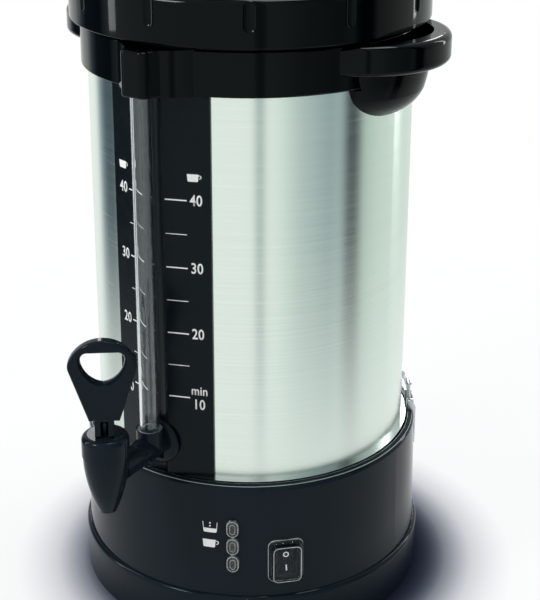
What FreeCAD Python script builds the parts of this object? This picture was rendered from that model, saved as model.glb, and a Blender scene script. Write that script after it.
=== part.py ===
"""Coffee urn with a sight tube, a drip-free tap and a lid that locks by turning.

The frame: millimetres, +Z up, the urn's axis is X = Y = 0, the tap faces -Y and the
rubber feet stand on Z = 0. Every driving size is a cell of the spreadsheet Sizes.
"""
import FreeCAD, Part
import math
import os

import Sketcher

SIZES = {
    # Steel jacket and tank
    "jacket_radius": 102.5,
    "jacket_wall": 0.8,
    "jacket_top": 379.5,
    "tank_radius": 98.0,
    "tank_wall": 1.0,
    "tank_floor": 112.0,
    "tank_flange": 101.6,
    "well_radius": 18.0,
    "well_depth": 4.0,
    "ring_width": 3.2,
    # Base
    "foot_radius": 115.5,
    "foot_lift": 3.5,
    "foot_top": 34.9,
    "foot_wall": 3.0,
    "foot_shoulder": 3.0,
    "foot_flange": 20.0,
    "flange_thick": 3.0,
    "base_radius_low": 113.0,
    "base_radius_top": 111.4,
    "base_top": 112.5,
    "base_wall": 3.0,
    "rim_width": 4.2,
    "rim_round": 3.8,
    "deck_top": 104.0,
    "deck_thick": 3.0,
    "deck_hole": 64.0,
    "tower_radius": 5.0,
    "tower_reach": 97.0,
    "plate_thick": 2.5,
    "feet_reach": 102.0,
    "feet_radius": 8.0,
    "peg_radius": 4.0,
    "screw_shank": 2.0,
    "screw_head": 3.8,
    "screw_head_tall": 2.2,
    # Heater
    "heater_radius": 58.0,
    "heater_bore": 26.0,
    "heater_thick": 5.0,
    "element_ring": 43.0,
    "element_radius": 3.5,
    "thermostat_radius": 9.0,
    "thermostat_tall": 8.0,
    # Scale panel and sight tube
    "panel_spread": 19.5,
    "panel_tilt": 18.9,
    "panel_face": 104.0,
    "panel_lip": 7.2,
    "lip_step": 1.0,
    "tube_reach": 117.0,
    "tube_radius": 6.0,
    "tube_wall": 1.2,
    "tube_foot_rise": 7.0,
    "tube_head": 377.0,
    "seal_wall": 1.9,
    "cap_wall": 1.0,
    # Tap
    "tap_reach": 160.4,
    "arm_height": 134.0,
    "arm_radius": 8.2,
    "arm_bore": 4.5,
    "spigot_radius": 6.0,
    "seat_radius": 8.4,
    "seat_depth": 5.7,
    "nut_radius": 10.5,
    "nut_thick": 5.0,
    "disc_radius": 15.0,
    "disc_thick": 3.2,
    "barrel_radius": 13.7,
    "barrel_rise": 15.4,
    "barrel_curve": 95.0,
    "outlet_radius": 6.1,
    "outlet_bore": 4.2,
    "outlet_drop": 22.0,
    "seat_drop": 5.0,
    "chamber_radius": 9.8,
    "bonnet_radius": 14.15,
    "bonnet_rise": 28.8,
    "bonnet_round": 3.5,
    "skirt_gap": 13.0,
    "cavity_radius": 7.6,
    "bonnet_roof": 4.0,
    "stem_radius": 3.0,
    "stem_collar": 6.6,
    "stem_fit": 0.05,
    "cup_radius": 6.8,
    "cup_tall": 7.0,
    "pin_rise": 34.2,
    "pin_radius": 1.5,
    "eye_width": 4.4,
    "eye_sunk": 2.6,
    "spring_radius": 5.6,
    "spring_wire": 0.9,
    # Key lever
    "lever_turn": 36.0,
    "key_thick": 7.6,
    "key_width": 40.5,
    "key_rise": 89.0,
    "key_foot_gap": 0.5,
    "key_neck": 11.2,
    "key_low_rise": 38.0,
    "key_crown": 21.5,
    "key_corner": 9.0,
    "key_flare": 18.5,
    "key_edge": 1.8,
    "key_eye_width": 25.4,
    "key_eye_drop": 8.3,
    "key_eye_tall": 17.0,
    "key_eye_crown": 30.0,
    "key_eye_corner": 3.8,
    # Collar, handles and lid
    "collar_radius": 106.6,
    "collar_foot": 357.0,
    "collar_top": 384.0,
    "shoulder_foot": 379.8,
    "neck_radius": 104.5,
    "neck_bore": 97.5,
    "neck_top": 404.0,
    "nose_tip": 125.0,
    "nose_half": 9.2,
    "nose_flank": 30.0,
    "handle_centre": 78.0,
    "handle_radius": 54.5,
    "handle_rim": 10.5,
    "handle_foot": 366.0,
    "handle_top": 384.0,
    "handle_wall": 3.0,
    "lobe_centre": 70.0,
    "lobe_radius": 49.5,
    "lobe_foot": 335.0,
    "lid_radius": 112.9,
    "lid_foot": 386.3,
    "lid_edge": 414.4,
    "lid_round": 5.0,
    "lid_crown": 425.0,
    "lid_wall": 3.0,
    "flute_count": 12,
    "flute_radius": 5.0,
    "flute_depth": 1.6,
    "flute_foot": 8.0,
    "lug_spread": 16.0,
    "lug_thick": 3.0,
    "lug_gap": 0.6,
    "lug_turn": 0.0,
    "knob_radius": 17.0,
    "knob_waist": 9.5,
    "knob_top": 450.0,
    # Percolator parts
    "riser_radius": 5.0,
    "riser_wall": 0.8,
    "riser_top": 376.0,
    "riser_cone": 16.0,
    "basket_radius": 78.0,
    "basket_foot": 302.0,
    "basket_top": 362.0,
    "basket_wall": 1.0,
    # Switch and lamps
    "switch_turn": 43.3,
    "switch_height": 59.5,
    "switch_width": 14.0,
    "switch_tall": 20.5,
    "switch_depth": 22.0,
    "switch_bezel": 1.6,
    "rocker_width": 10.1,
    "rocker_tall": 16.4,
    "rocker_lean": 7.0,
    "cover_width": 21.9,
    "cover_tall": 28.8,
    "cover_rise": 8.5,
    "cover_wall": 1.0,
    "cover_round": 4.0,
    "lamp_turn": 26.3,
    "lamp_height": 71.1,
    "lamp_pitch": 12.5,
    "lamp_width": 7.9,
    "lamp_tall": 11.6,
    "lamp_rise": 2.0,
    # Power inlet
    "inlet_height": 62.0,
    "inlet_width": 28.0,
    "inlet_tall": 20.0,
    "inlet_depth": 24.0,
    "inlet_flange": 2.2,
    "inlet_ear": 7.0,
    "inlet_wall": 2.0,
    "inlet_screw": 1.5,
    # Latches
    "latch_turn": 122.0,
    "notch_half": 11.5,
    "notch_foot": 84.0,
    "latch_half": 9.0,
    "latch_sheet": 1.0,
    "latch_pin": 1.0,
    "latch_pin_reach": 108.6,
    "latch_pin_height": 117.0,
    "loop_pin_reach": 108.5,
    "loop_pin_height": 110.0,
    "loop_bar_reach": 107.5,
    "loop_bar_height": 129.2,
    "loop_half": 4.5,
    "keeper_rise": 11.8,
    # Clearances
    "slip": 0.05,
    "loose": 0.3,
}

FLAT = 1e-9


class Size:
    """A size that knows its number and the expression that binds it to the sheet."""

    def __init__(self, value, text):
        self.value = float(value)
        self.text = text

    def _join(self, other, sign, value):
        return Size(value, "(%s %s %s)" % (self.text, sign, other.text))

    def __add__(self, other):
        other = as_size(other)
        return self._join(other, "+", self.value + other.value)

    def __sub__(self, other):
        other = as_size(other)
        return self._join(other, "-", self.value - other.value)

    def __mul__(self, other):
        other = as_size(other)
        return self._join(other, "*", self.value * other.value)

    def __truediv__(self, other):
        other = as_size(other)
        return self._join(other, "/", self.value / other.value)

    def __radd__(self, other):
        return as_size(other) + self

    def __rsub__(self, other):
        return as_size(other) - self

    def __rmul__(self, other):
        return as_size(other) * self

    def __neg__(self):
        return Size(-self.value, "(-1 * %s)" % self.text)


def as_size(number):
    """Take a plain number into an expression."""
    return number if isinstance(number, Size) else Size(number, "(%.6g)" % number)


def sine(angle):
    return Size(math.sin(math.radians(angle.value)), "sin(%s)" % angle.text)


def cosine(angle):
    return Size(math.cos(math.radians(angle.value)), "cos(%s)" % angle.text)


def root(square):
    return Size(math.sqrt(square.value), "sqrt(%s)" % square.text)


doc = FreeCAD.newDocument("coffee_urn")
sheet = doc.addObject("Spreadsheet::Sheet", "Sizes")


class Named:
    """The cells of the sheet, each under its alias."""


s = Named()
for row, (alias, number) in enumerate(SIZES.items(), start=1):
    sheet.set("A%d" % row, alias)
    sheet.set("B%d" % row, str(number))
    sheet.setAlias("B%d" % row, alias)
    setattr(s, alias, Size(number, "Sizes.%s" % alias))
doc.recompute()

# Heights that follow the tap's arm and the latch's wire

tube_foot = s.arm_height + s.tube_foot_rise
seat_top = tube_foot + s.seat_depth
barrel_top = s.arm_height + s.barrel_rise
outlet_height = s.arm_height - s.outlet_drop
seat_height = s.arm_height - s.seat_drop
bonnet_top = s.arm_height + s.bonnet_rise
bonnet_skirt = seat_height + s.skirt_gap
cavity_top = bonnet_top - s.bonnet_roof
pin_height = s.arm_height + s.pin_rise
key_foot = bonnet_top + s.key_foot_gap
key_low = s.arm_height + s.key_low_rise
key_top = s.arm_height + s.key_rise
keeper_top = s.loop_bar_height + s.keeper_rise

AXES = {"X": ((0, 1, 0), 90), "-X": ((0, 1, 0), -90), "Y": ((1, 0, 0), -90),
        "-Y": ((1, 0, 0), 90), "Z": ((0, 0, 1), 0)}
PIECES = {}


def bind(item, prop, number):
    """Bind one property of an object to the sheet."""
    item.setExpression(prop, as_size(number).text)


def place(item, at, axis=(0, 0, 1), angle=0):
    """Put an object at a point and turn it about an axis."""
    spots = [as_size(number) for number in at]
    angle = as_size(angle)
    item.Placement = FreeCAD.Placement(
        FreeCAD.Vector(*[spot.value for spot in spots]),
        FreeCAD.Rotation(FreeCAD.Vector(*axis), angle.value))
    for letter, spot in zip("xyz", spots):
        bind(item, "Placement.Base." + letter, spot)
    if abs(angle.value) > FLAT:
        bind(item, "Placement.Rotation.Angle", angle)
    return item


def swing(item, angle):
    """Turn a finished object about the urn's axis, from +X. One that has a place of its own
    is held in a compound first, so that it keeps that place."""
    if item.Placement.Base.Length > FLAT:
        item = group(item.Name + "_held", [item])
    return place(item, (0, 0, 0), (0, 0, 1), angle)


def rod(name, radius, length, at, along="Z"):
    """A round bar from a point along one axis."""
    item = doc.addObject("Part::Cylinder", name)
    bind(item, "Radius", radius)
    bind(item, "Height", length)
    axis, angle = AXES[along]
    return place(item, at, axis, angle)


def block(name, low, high):
    """A box between its lowest and highest corners."""
    item = doc.addObject("Part::Box", name)
    for prop, first, last in zip(("Length", "Width", "Height"), low, high):
        bind(item, prop, as_size(last) - first)
    return place(item, low)


def fuse(name, *items):
    item = doc.addObject("Part::MultiFuse", name)
    item.Shapes = list(items)
    item.Refine = True
    return item


def cut(name, base, *tools):
    item = doc.addObject("Part::Cut", name)
    item.Base = base
    item.Tool = tools[0] if len(tools) == 1 else fuse(name + "_tools", *tools)
    return item


def common(name, *items):
    item = doc.addObject("Part::MultiCommon", name)
    item.Shapes = list(items)
    return item


def group(name, items):
    """Separate solids that share one node."""
    item = doc.addObject("Part::Compound", name)
    item.Links = list(items)
    return item


def sketch(body, role, corners):
    """A closed outline. A corner with a third number is reached by an arc of that radius,
    which turns left where the number is above zero and right where it is below."""
    item = body.newObject("Sketcher::SketchObject", body.Name + "_outline")
    plane = [part for part in body.Origin.OriginFeatures if part.Role == role][0]
    item.AttachmentSupport = [(plane, "")]
    item.MapMode = "FlatFace"
    points = [(as_size(corner[0]), as_size(corner[1])) for corner in corners]
    spots = [FreeCAD.Vector(x.value, y.value, 0) for x, y in points]
    ends = []
    for index, start in enumerate(spots):
        after = (index + 1) % len(spots)
        end = spots[after]
        bend = corners[after][2] if len(corners[after]) > 2 else None
        if bend is None:
            item.addGeometry(Part.LineSegment(start, end))
            ends.append((1, 2))
            continue
        bend = as_size(bend)
        left = bend.value > 0
        first, last = (start, end) if left else (end, start)
        chord = last - first
        middle = (first + last) / 2
        reach = math.sqrt(max(bend.value ** 2 - (chord.Length / 2) ** 2, 0))
        side = FreeCAD.Vector(-chord.y, chord.x, 0) / chord.Length
        centre = middle + side * reach
        turns = [math.atan2(spot.y - centre.y, spot.x - centre.x) for spot in (first, last)]
        circle = Part.Circle(centre, FreeCAD.Vector(0, 0, 1), abs(bend.value))
        item.addGeometry(Part.ArcOfCircle(circle, turns[0], turns[1]))
        ends.append((1, 2) if left else (2, 1))
        fixed = item.addConstraint(Sketcher.Constraint("Radius", index, abs(bend.value)))
        item.setExpression("Constraints[%d]" % fixed, "abs(%s)" % bend.text)
    for index in range(len(spots)):
        after = (index + 1) % len(spots)
        item.addConstraint(
            Sketcher.Constraint("Coincident", index, ends[index][1], after, ends[after][0]))
    for index, (x, y) in enumerate(points):
        for kind, number, axis in (("DistanceX", x, -2), ("DistanceY", y, -1)):
            spot = ends[index][0]
            if abs(number.value) < FLAT:
                item.addConstraint(Sketcher.Constraint("PointOnObject", index, spot, axis))
                continue
            fixed = item.addConstraint(
                Sketcher.Constraint(kind, -1, 1, index, spot, number.value))
            item.setExpression("Constraints[%d]" % fixed, number.text)
    return item


def turned(name, corners):
    """A body turned about its own Z axis from an outline of radius and height."""
    body = doc.addObject("PartDesign::Body", name)
    profile = sketch(body, "XZ_Plane", corners)
    turn = body.newObject("PartDesign::Revolution", name + "_turn")
    turn.Profile = profile
    turn.ReferenceAxis = (profile, ["V_Axis"])
    turn.Angle = 360
    return body


def moulded(name, role, corners, length, both=False):
    """A body pushed out from an outline, to one side or evenly to both sides."""
    body = doc.addObject("PartDesign::Body", name)
    profile = sketch(body, role, corners)
    push = body.newObject("PartDesign::Pad", name + "_push")
    push.Profile = profile
    bind(push, "Length", length)
    if both:
        push.SideType = "Symmetric"
    return body


def ring(name, outer, inner, low, high):
    """A plain ring about the body's own Z axis."""
    return turned(name, [(inner, low), (outer, low), (outer, high), (inner, high)])


def rounded(name, base, radius, wanted):
    """Round the edges of a shape that the test picks out."""
    doc.recompute()
    item = doc.addObject("Part::Fillet", name)
    item.Base = base
    size = as_size(radius).value
    edges = [(number, size, size) for number, edge in enumerate(base.Shape.Edges, start=1)
             if wanted(edge)]
    item.Edges = edges
    return item


def level(edge, height):
    """True for an edge that lies all at one height."""
    box = edge.BoundBox
    return abs(box.ZMin - height.value) < 0.01 and abs(box.ZMax - height.value) < 0.01


def piece(item, label):
    """Name a finished sub-part."""
    item.Label = label
    PIECES[label] = item
    return item


# Base: a foot ring and a housing of gloss black plastic, closed below by a plate

flange_top = s.foot_lift + s.flange_thick
foot_bore = s.foot_radius - s.foot_wall
ledge_top = s.foot_top - s.foot_shoulder - 2.0
ledge_bore = s.base_radius_low - s.base_wall - 1.5
foot_blank = turned("foot_blank", [
    (foot_bore - s.foot_flange, s.foot_lift),
    (s.foot_radius - 1.5, s.foot_lift),
    (s.foot_radius, s.foot_lift + 1.5, 1.5),
    (s.foot_radius, s.foot_top - s.foot_shoulder),
    (s.foot_radius - s.foot_shoulder + 0.8, s.foot_top, s.foot_shoulder * 1.05),
    (s.base_radius_low + s.slip, s.foot_top),
    (s.base_radius_low + s.slip, ledge_top),
    (ledge_bore, ledge_top),
    (ledge_bore, ledge_top - 2.5),
    (foot_bore, ledge_top - 2.5),
    (foot_bore, flange_top),
    (foot_bore - s.foot_flange, flange_top),
])
FEET_TURNS = (0, 90, 180, 270)
TOWER_TURNS = (45, 135, 225, 315)


def around(reach, turn):
    """The plan position at a reach and a turn from +X."""
    angle = Size(turn, "(%g)" % turn)
    return reach * cosine(angle), reach * sine(angle)


peg_holes = []
feet = []
for number, turn in enumerate(FEET_TURNS):
    east, north = around(s.feet_reach, turn)
    peg_holes.append(rod("peg_hole%d" % number, s.peg_radius + s.slip, flange_top, (east, north, 0)))
    pad = rod("pad%d" % number, s.feet_radius, s.foot_lift, (east, north, 0))
    peg = rod("peg%d" % number, s.peg_radius, flange_top - 0.5, (east, north, 0))
    feet.append(fuse("foot%d" % number, pad, peg))
screw_holes = []
screws = []
towers = []
tower_bores = []
plate_top = flange_top + s.plate_thick
tower_end = s.deck_top - s.deck_thick
for number, turn in enumerate(TOWER_TURNS):
    east, north = around(s.tower_reach, turn)
    screw_holes.append(rod("screw_hole%d" % number, s.screw_shank + 0.2, plate_top + 1, (east, north, 0)))
    sink = s.foot_lift + s.screw_head_tall
    screw_holes.append(rod("screw_sink%d" % number, s.screw_head + 0.2, sink, (east, north, 0)))
    head = rod("screw_top%d" % number, s.screw_head, s.screw_head_tall, (east, north, s.foot_lift))
    shank = rod("screw_rod%d" % number, s.screw_shank, 14, (east, north, s.foot_lift))
    screws.append(fuse("screw%d" % number, head, shank))
    towers.append(rod("tower%d" % number, s.tower_radius, tower_end + 1 - plate_top,
                      (east, north, plate_top)))
    tower_bores.append(rod("tower_bore%d" % number, s.screw_shank, 12, (east, north, plate_top)))
piece(cut("foot_ring_cut", foot_blank, *peg_holes, *screw_holes), "foot_ring")
piece(group("rubber_feet_all", feet), "rubber_feet")
piece(group("base_screws_all", screws), "base_screws")

plate_blank = rod("plate_blank", foot_bore - s.loose, s.plate_thick, (0, 0, flange_top))
vents = []
for number in range(9):
    across = (number - 4) * 9.0
    length = 30.0 - abs(number - 4) * 3.0
    vents.append(block("vent%d" % number, (-length, across - 1.5, flange_top - 1),
                       (length, across + 1.5, plate_top + 1)))
plate_holes = [rod("plate_hole%d" % number, s.screw_shank + 0.2, plate_top + 1,
                   (*around(s.tower_reach, turn), 0)) for number, turn in enumerate(TOWER_TURNS)]
piece(cut("bottom_plate_cut", plate_blank, *vents, *plate_holes), "bottom_plate")

groove_bore = s.base_radius_top - s.rim_width
base_blank = turned("base_blank", [
    (s.deck_hole, tower_end),
    (s.base_radius_top - s.base_wall, tower_end),
    (s.base_radius_low - s.base_wall, ledge_top),
    (s.base_radius_low, ledge_top),
    (s.base_radius_top + 0.05, s.base_top - s.rim_round),
    (s.base_radius_top - s.rim_round + 0.6, s.base_top, s.rim_round),
    (groove_bore + 0.4, s.base_top),
    (groove_bore, s.base_top - 0.6),
    (groove_bore, s.deck_top),
    (s.deck_hole, s.deck_top),
])

# Local frames: +X points out of the wall, so a piece is built there and swung into place


def facing(turn):
    """The turn from +X of a direction that is turned from -Y towards +X."""
    return turn - 90


wall_reach = s.base_radius_top + (s.base_radius_low - s.base_radius_top) * 0.6
switch_hole = block("switch_hole", (90, -s.switch_width / 2 + 1, s.switch_height - s.switch_tall / 2 + 1),
                    (s.foot_radius + 5, s.switch_width / 2 - 1, s.switch_height + s.switch_tall / 2 - 1))
switch_hole = swing(switch_hole, facing(s.switch_turn))
lamp_heights = [s.lamp_height + (1 - number) * s.lamp_pitch for number in range(3)]
half_lamp = s.lamp_width / 2
lamp_run = s.lamp_tall - s.lamp_width


def oval(name, half, run, height, low, high):
    """An upright oval bar that runs along X, about a height."""
    ends = [rod(name + "_end%d" % side, half, high - low, (low, 0, height + run * (side - 0.5)), "X")
            for side in (0, 1)]
    web = block(name + "_web", (low, -half, height - run / 2), (high, half, height + run / 2))
    return fuse(name, *ends, web)


lamp_holes = []
for number, height in enumerate(lamp_heights):
    hole = oval("lamp_hole%d" % number, half_lamp - 0.8 + s.slip, lamp_run, height,
                as_size(95), s.foot_radius + 5)
    lamp_holes.append(swing(hole, facing(s.lamp_turn)))
inlet_hole = block("inlet_hole", (90, -s.inlet_width / 2 - s.slip, s.inlet_height - s.inlet_tall / 2 - s.slip),
                   (s.foot_radius + 5, s.inlet_width / 2 + s.slip, s.inlet_height + s.inlet_tall / 2 + s.slip))
inlet_hole = swing(inlet_hole, as_size(90))
ear_reach = s.inlet_width / 2 + s.inlet_ear / 2
ear_bores = [swing(rod("ear_drill%d" % number, s.inlet_screw, 20,
                       (s.base_radius_low - 12, ear_reach * side, s.inlet_height), "X"), as_size(90))
             for number, side in enumerate((1, -1))]
pockets = []
notches = []
for number, side in enumerate((1, -1)):
    turn = facing(s.latch_turn * side)
    pocket = block("pocket%d" % number, (s.latch_pin_reach - 6.4, -s.notch_half - 2, s.notch_foot - 2),
                   (s.base_radius_top - 0.5, s.notch_half + 2, s.deck_top))
    notch = block("notch%d" % number, (s.latch_pin_reach - 2.6, -s.notch_half, s.notch_foot),
                  (s.foot_radius + 5, s.notch_half, s.base_top + 5))
    pockets.append(swing(pocket, turn))
    notches.append(swing(notch, turn))
base_full = fuse("base_full", base_blank, *towers, *pockets)
piece(cut("base_housing_cut", base_full, switch_hole, inlet_hole, *ear_bores, *lamp_holes, *notches, *tower_bores),
      "base_housing")

# Power inlet at the back: a socket with three blades, screwed to the wall

inlet_face = s.base_radius_low + s.inlet_flange
inlet_low = s.inlet_height - s.inlet_tall / 2
inlet_high = s.inlet_height + s.inlet_tall / 2
inlet_box = block("inlet_box", (inlet_face - s.inlet_depth, -s.inlet_width / 2, inlet_low),
                  (inlet_face, s.inlet_width / 2, inlet_high))
inlet_plate = block("inlet_plate", (s.base_radius_low - 0.2, -s.inlet_width / 2 - s.inlet_ear, inlet_low - 2.5),
                    (inlet_face, s.inlet_width / 2 + s.inlet_ear, inlet_high + 2.5))
inlet_recess = block("inlet_recess", (inlet_face - s.inlet_depth + 3, -s.inlet_width / 2 + s.inlet_wall,
                                      inlet_low + s.inlet_wall),
                     (inlet_face + 1, s.inlet_width / 2 - s.inlet_wall, inlet_high - s.inlet_wall))
ear_holes = [rod("ear_hole%d" % number, s.inlet_screw, 20, (100, ear_reach * side, s.inlet_height), "X")
             for number, side in enumerate((1, -1))]
blades = []
blade_slots = []
for number, (across, lift) in enumerate(((-7, -1.5), (0, 2.5), (7, -1.5))):
    low = (inlet_face - s.inlet_depth - 6, across - 1, s.inlet_height + lift - 2)
    high = (inlet_face - 5, across + 1, s.inlet_height + lift + 2)
    blades.append(block("blade%d" % number, low, high))
    blade_slots.append(block("blade_slot%d" % number, low, high))
piece(swing(cut("inlet_cut", fuse("inlet_full", inlet_box, inlet_plate), inlet_recess, *ear_holes,
                *blade_slots), as_size(90)), "power_inlet")
piece(swing(group("inlet_blades_all", blades), as_size(90)), "inlet_blades")
inlet_screws = []
for number, side in enumerate((1, -1)):
    shank = rod("inlet_shank%d" % number, s.inlet_screw, 10, (inlet_face - 9.5, ear_reach * side, s.inlet_height), "X")
    head = rod("inlet_head%d" % number, 2.8, 1.4, (inlet_face, ear_reach * side, s.inlet_height), "X")
    inlet_screws.append(fuse("inlet_screw%d" % number, shank, head))
piece(swing(group("inlet_screws_all", inlet_screws), as_size(90)), "inlet_screws")

# Switch: a rocker in a bezel, under a clear splash cover

bezel_face = wall_reach + s.switch_bezel
switch_low = s.switch_height - s.switch_tall / 2
switch_high = s.switch_height + s.switch_tall / 2
rocker_reach = wall_reach - 1.0
switch_box = block("switch_box", (wall_reach - s.switch_depth, -s.switch_width / 2 + 1 + s.slip, switch_low + 1 + s.slip),
                   (bezel_face, s.switch_width / 2 - 1 - s.slip, switch_high - 1 - s.slip))
switch_bezel = block("switch_bezel", (wall_reach + s.loose, -s.switch_width / 2, switch_low),
                     (bezel_face, s.switch_width / 2, switch_high))
rocker_room = block("rocker_room", (wall_reach - 9, -s.rocker_width / 2 - s.loose, s.switch_height - s.rocker_tall / 2 - 0.7),
                    (bezel_face + 1, s.rocker_width / 2 + s.loose, s.switch_height + s.rocker_tall / 2 + 0.7))
rocker_pin_hole = rod("rocker_pin_hole", 1.0 + s.slip, s.switch_width,
                      (rocker_reach, -s.switch_width / 2, s.switch_height), "Y")
piece(swing(cut("switch_cut", fuse("switch_full", switch_box, switch_bezel), rocker_room, rocker_pin_hole),
            facing(s.switch_turn)), "switch_body")
half_rocker = s.rocker_tall / 2
lean = half_rocker * sine(s.rocker_lean)
rocker_bar = moulded("rocker_bar", "XZ_Plane", [
    (rocker_reach - 4.0, s.switch_height - 3.0),
    (rocker_reach + 0.6, s.switch_height - half_rocker + 0.3),
    (rocker_reach + 2.4 + lean, s.switch_height - half_rocker),
    (rocker_reach + 1.6, s.switch_height, -60),
    (rocker_reach + 2.4 - lean, s.switch_height + half_rocker - 0.3, -60),
    (rocker_reach - 0.6, s.switch_height + half_rocker - 0.3),
    (rocker_reach - 4.0, s.switch_height + 3.0),
], s.rocker_width, both=True)
rocker_pin = rod("rocker_pin", 1.0, s.switch_width - 2.6,
                 (rocker_reach, -s.switch_width / 2 + 1.3, s.switch_height), "Y")
piece(swing(fuse("rocker_full", rocker_bar, rocker_pin), facing(s.switch_turn)), "switch_rocker")
cover_face = wall_reach + s.cover_rise
cover_low = s.switch_height - s.cover_tall / 2
cover_high = s.switch_height + s.cover_tall / 2
cover_block = block("cover_block", (s.base_radius_top - 1.0, -s.cover_width / 2, cover_low),
                    (cover_face, s.cover_width / 2, cover_high))
cover_soft = rounded("cover_soft", cover_block, s.cover_round,
                     lambda edge: abs(edge.BoundBox.XLength - edge.Length) < 0.01)
cover_lipped = rounded("cover_lipped", cover_soft, 1.6,
                       lambda edge: edge.BoundBox.XMin > cover_face.value - 0.01)
cover_void = block("cover_void", (wall_reach - 9, -s.cover_width / 2 + s.cover_wall, cover_low + s.cover_wall),
                   (cover_face - s.cover_wall, s.cover_width / 2 - s.cover_wall, cover_high - s.cover_wall))
base_cone = turned("base_cone", [
    (0, s.foot_top - 10), (s.base_radius_low + 0.2, s.foot_top - 10),
    (s.base_radius_top + 0.1, s.base_top), (0, s.base_top)])
piece(swing(cut("cover_cut", cover_lipped, cover_void, base_cone), facing(s.switch_turn)), "switch_cover")

# Lamps: three clear oval lenses and the board that carries them

LAMPS = ("water_lamp_lens", "ready_lamp_lens", "warning_lamp_lens")
for number, (label, height) in enumerate(zip(LAMPS, lamp_heights)):
    body = oval("lens_body%d" % number, half_lamp - 0.8, lamp_run, height,
                s.base_radius_top - s.base_wall - 2, wall_reach + 0.2)
    crown = oval("lens_crown%d" % number, half_lamp, lamp_run, height, wall_reach + 0.2,
                 wall_reach + 0.2 + s.lamp_rise)
    crown_soft = rounded("lens_soft%d" % number, crown, 1.2,
                         lambda edge: edge.BoundBox.XMin > (wall_reach + 0.1 + s.lamp_rise).value)
    piece(swing(fuse("lens%d" % number, body, crown_soft), facing(s.lamp_turn)), label)
board_reach = s.base_radius_top - s.base_wall - 4.6
board = block("board", (board_reach - 1.6, -9, s.lamp_height - 22), (board_reach, 9, s.lamp_height + 22))
bulbs = [rod("bulb%d" % number, 2.4, 2.5, (board_reach, 0, height), "X")
         for number, height in enumerate(lamp_heights)]
piece(swing(fuse("lamp_board_full", board, *bulbs), facing(s.lamp_turn)), "lamp_board")

# Container: a steel jacket round a steel tank, with a bright ring at its foot

piece(ring("jacket_ring", s.jacket_radius + s.ring_width, s.jacket_radius, s.deck_top, s.base_top),
      "jacket_ring")
jacket_blank = ring("jacket_blank", s.jacket_radius, s.jacket_radius - s.jacket_wall,
                    s.deck_top, s.jacket_top)
arm_hole = rod("arm_hole", s.arm_radius + s.loose, 30, (0, -s.jacket_radius - 12, s.arm_height), "Y")
piece(cut("jacket_cut", jacket_blank, arm_hole), "jacket")

tank_bore = s.tank_radius - s.tank_wall
floor_top = s.tank_floor + s.tank_wall
well_floor = s.tank_floor - s.well_depth
tank_blank = turned("tank_blank", [
    (0, well_floor),
    (s.well_radius, well_floor),
    (s.well_radius + s.well_depth, s.tank_floor),
    (s.tank_radius - 6, s.tank_floor),
    (s.tank_radius, s.tank_floor + 6, 6),
    (s.tank_radius, s.jacket_top - 2),
    (s.tank_flange, s.jacket_top - 2),
    (s.tank_flange, s.jacket_top - 1),
    (tank_bore, s.jacket_top - 1),
    (tank_bore, s.tank_floor + 6),
    (s.tank_radius - 6, floor_top, -5),
    (s.well_radius + s.well_depth - 0.4, floor_top),
    (s.well_radius - 0.4, well_floor + s.tank_wall),
    (0, well_floor + s.tank_wall),
])
spigot_hole = rod("spigot_hole", s.spigot_radius + s.slip, 20, (0, -s.tank_radius - 10, s.arm_height), "Y")
piece(cut("tank_cut", tank_blank, spigot_hole), "inner_tank")
piece(ring("rim_gasket", s.tank_flange, s.neck_bore, s.jacket_top - 1, s.shoulder_foot), "rim_gasket")

# Heater under the tank: a plate, a tubular element and a thermostat

plate_low = s.tank_floor - s.heater_thick
groove = doc.addObject("Part::Torus", "element_groove")
bind(groove, "Radius1", s.element_ring)
bind(groove, "Radius2", s.element_radius)
place(groove, (0, 0, plate_low))
heater_blank = ring("heater_blank", s.heater_radius, s.heater_bore, plate_low, s.tank_floor)
piece(cut("heater_cut", heater_blank, groove), "heater_plate")
element = doc.addObject("Part::Torus", "element_loop")
bind(element, "Radius1", s.element_ring)
bind(element, "Radius2", s.element_radius)
place(element, (0, 0, plate_low))
tails = [rod("tail%d" % number, s.element_radius - 0.5, 18, (side * 9, s.element_ring, plate_low - 18))
         for number, side in enumerate((1, -1))]
piece(fuse("element_full", element, *tails), "heating_element")
thermostat_can = rod("thermostat_can", s.thermostat_radius, s.thermostat_tall,
                     (0, 0, well_floor - s.thermostat_tall))
thermostat_tabs = block("thermostat_tabs", (-3, -s.thermostat_radius - 7, well_floor - s.thermostat_tall),
                        (3, s.thermostat_radius + 7, well_floor - s.thermostat_tall + 1))
piece(fuse("thermostat_full", thermostat_can, thermostat_tabs), "thermostat")

# Scale panel: two flat flanks that meet a channel for the sight tube

edge_x = s.panel_face / cosine(s.panel_spread - s.panel_tilt) * sine(s.panel_spread)
edge_y = s.panel_face / cosine(s.panel_spread - s.panel_tilt) * cosine(s.panel_spread)
back = s.jacket_radius + 0.1
back_x = back * sine(s.panel_spread)
back_y = back * cosine(s.panel_spread)
lip_y = (s.panel_face - s.panel_lip * sine(s.panel_tilt)) / cosine(s.panel_tilt)
mouth = s.panel_lip - s.lip_step
channel = root(mouth * mouth + (s.tube_reach - lip_y) * (s.tube_reach - lip_y))
panel_bar = moulded("panel_bar", "XY_Plane", [
    (-back_x, -back_y),
    (back_x, -back_y, back),
    (edge_x, -edge_y),
    (s.panel_lip, -lip_y),
    (mouth, -lip_y),
    (-mouth, -lip_y, channel),
    (-s.panel_lip, -lip_y),
    (-edge_x, -edge_y),
], s.collar_foot - s.base_top)
place(panel_bar, (0, 0, s.base_top))
piece(cut("panel_cut", panel_bar, rod("panel_hole", s.arm_radius + s.loose, 40,
                                      (0, -s.jacket_radius - 30, s.arm_height), "Y")), "scale_panel")

# Sight tube: a clear pipe between two seals

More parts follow.
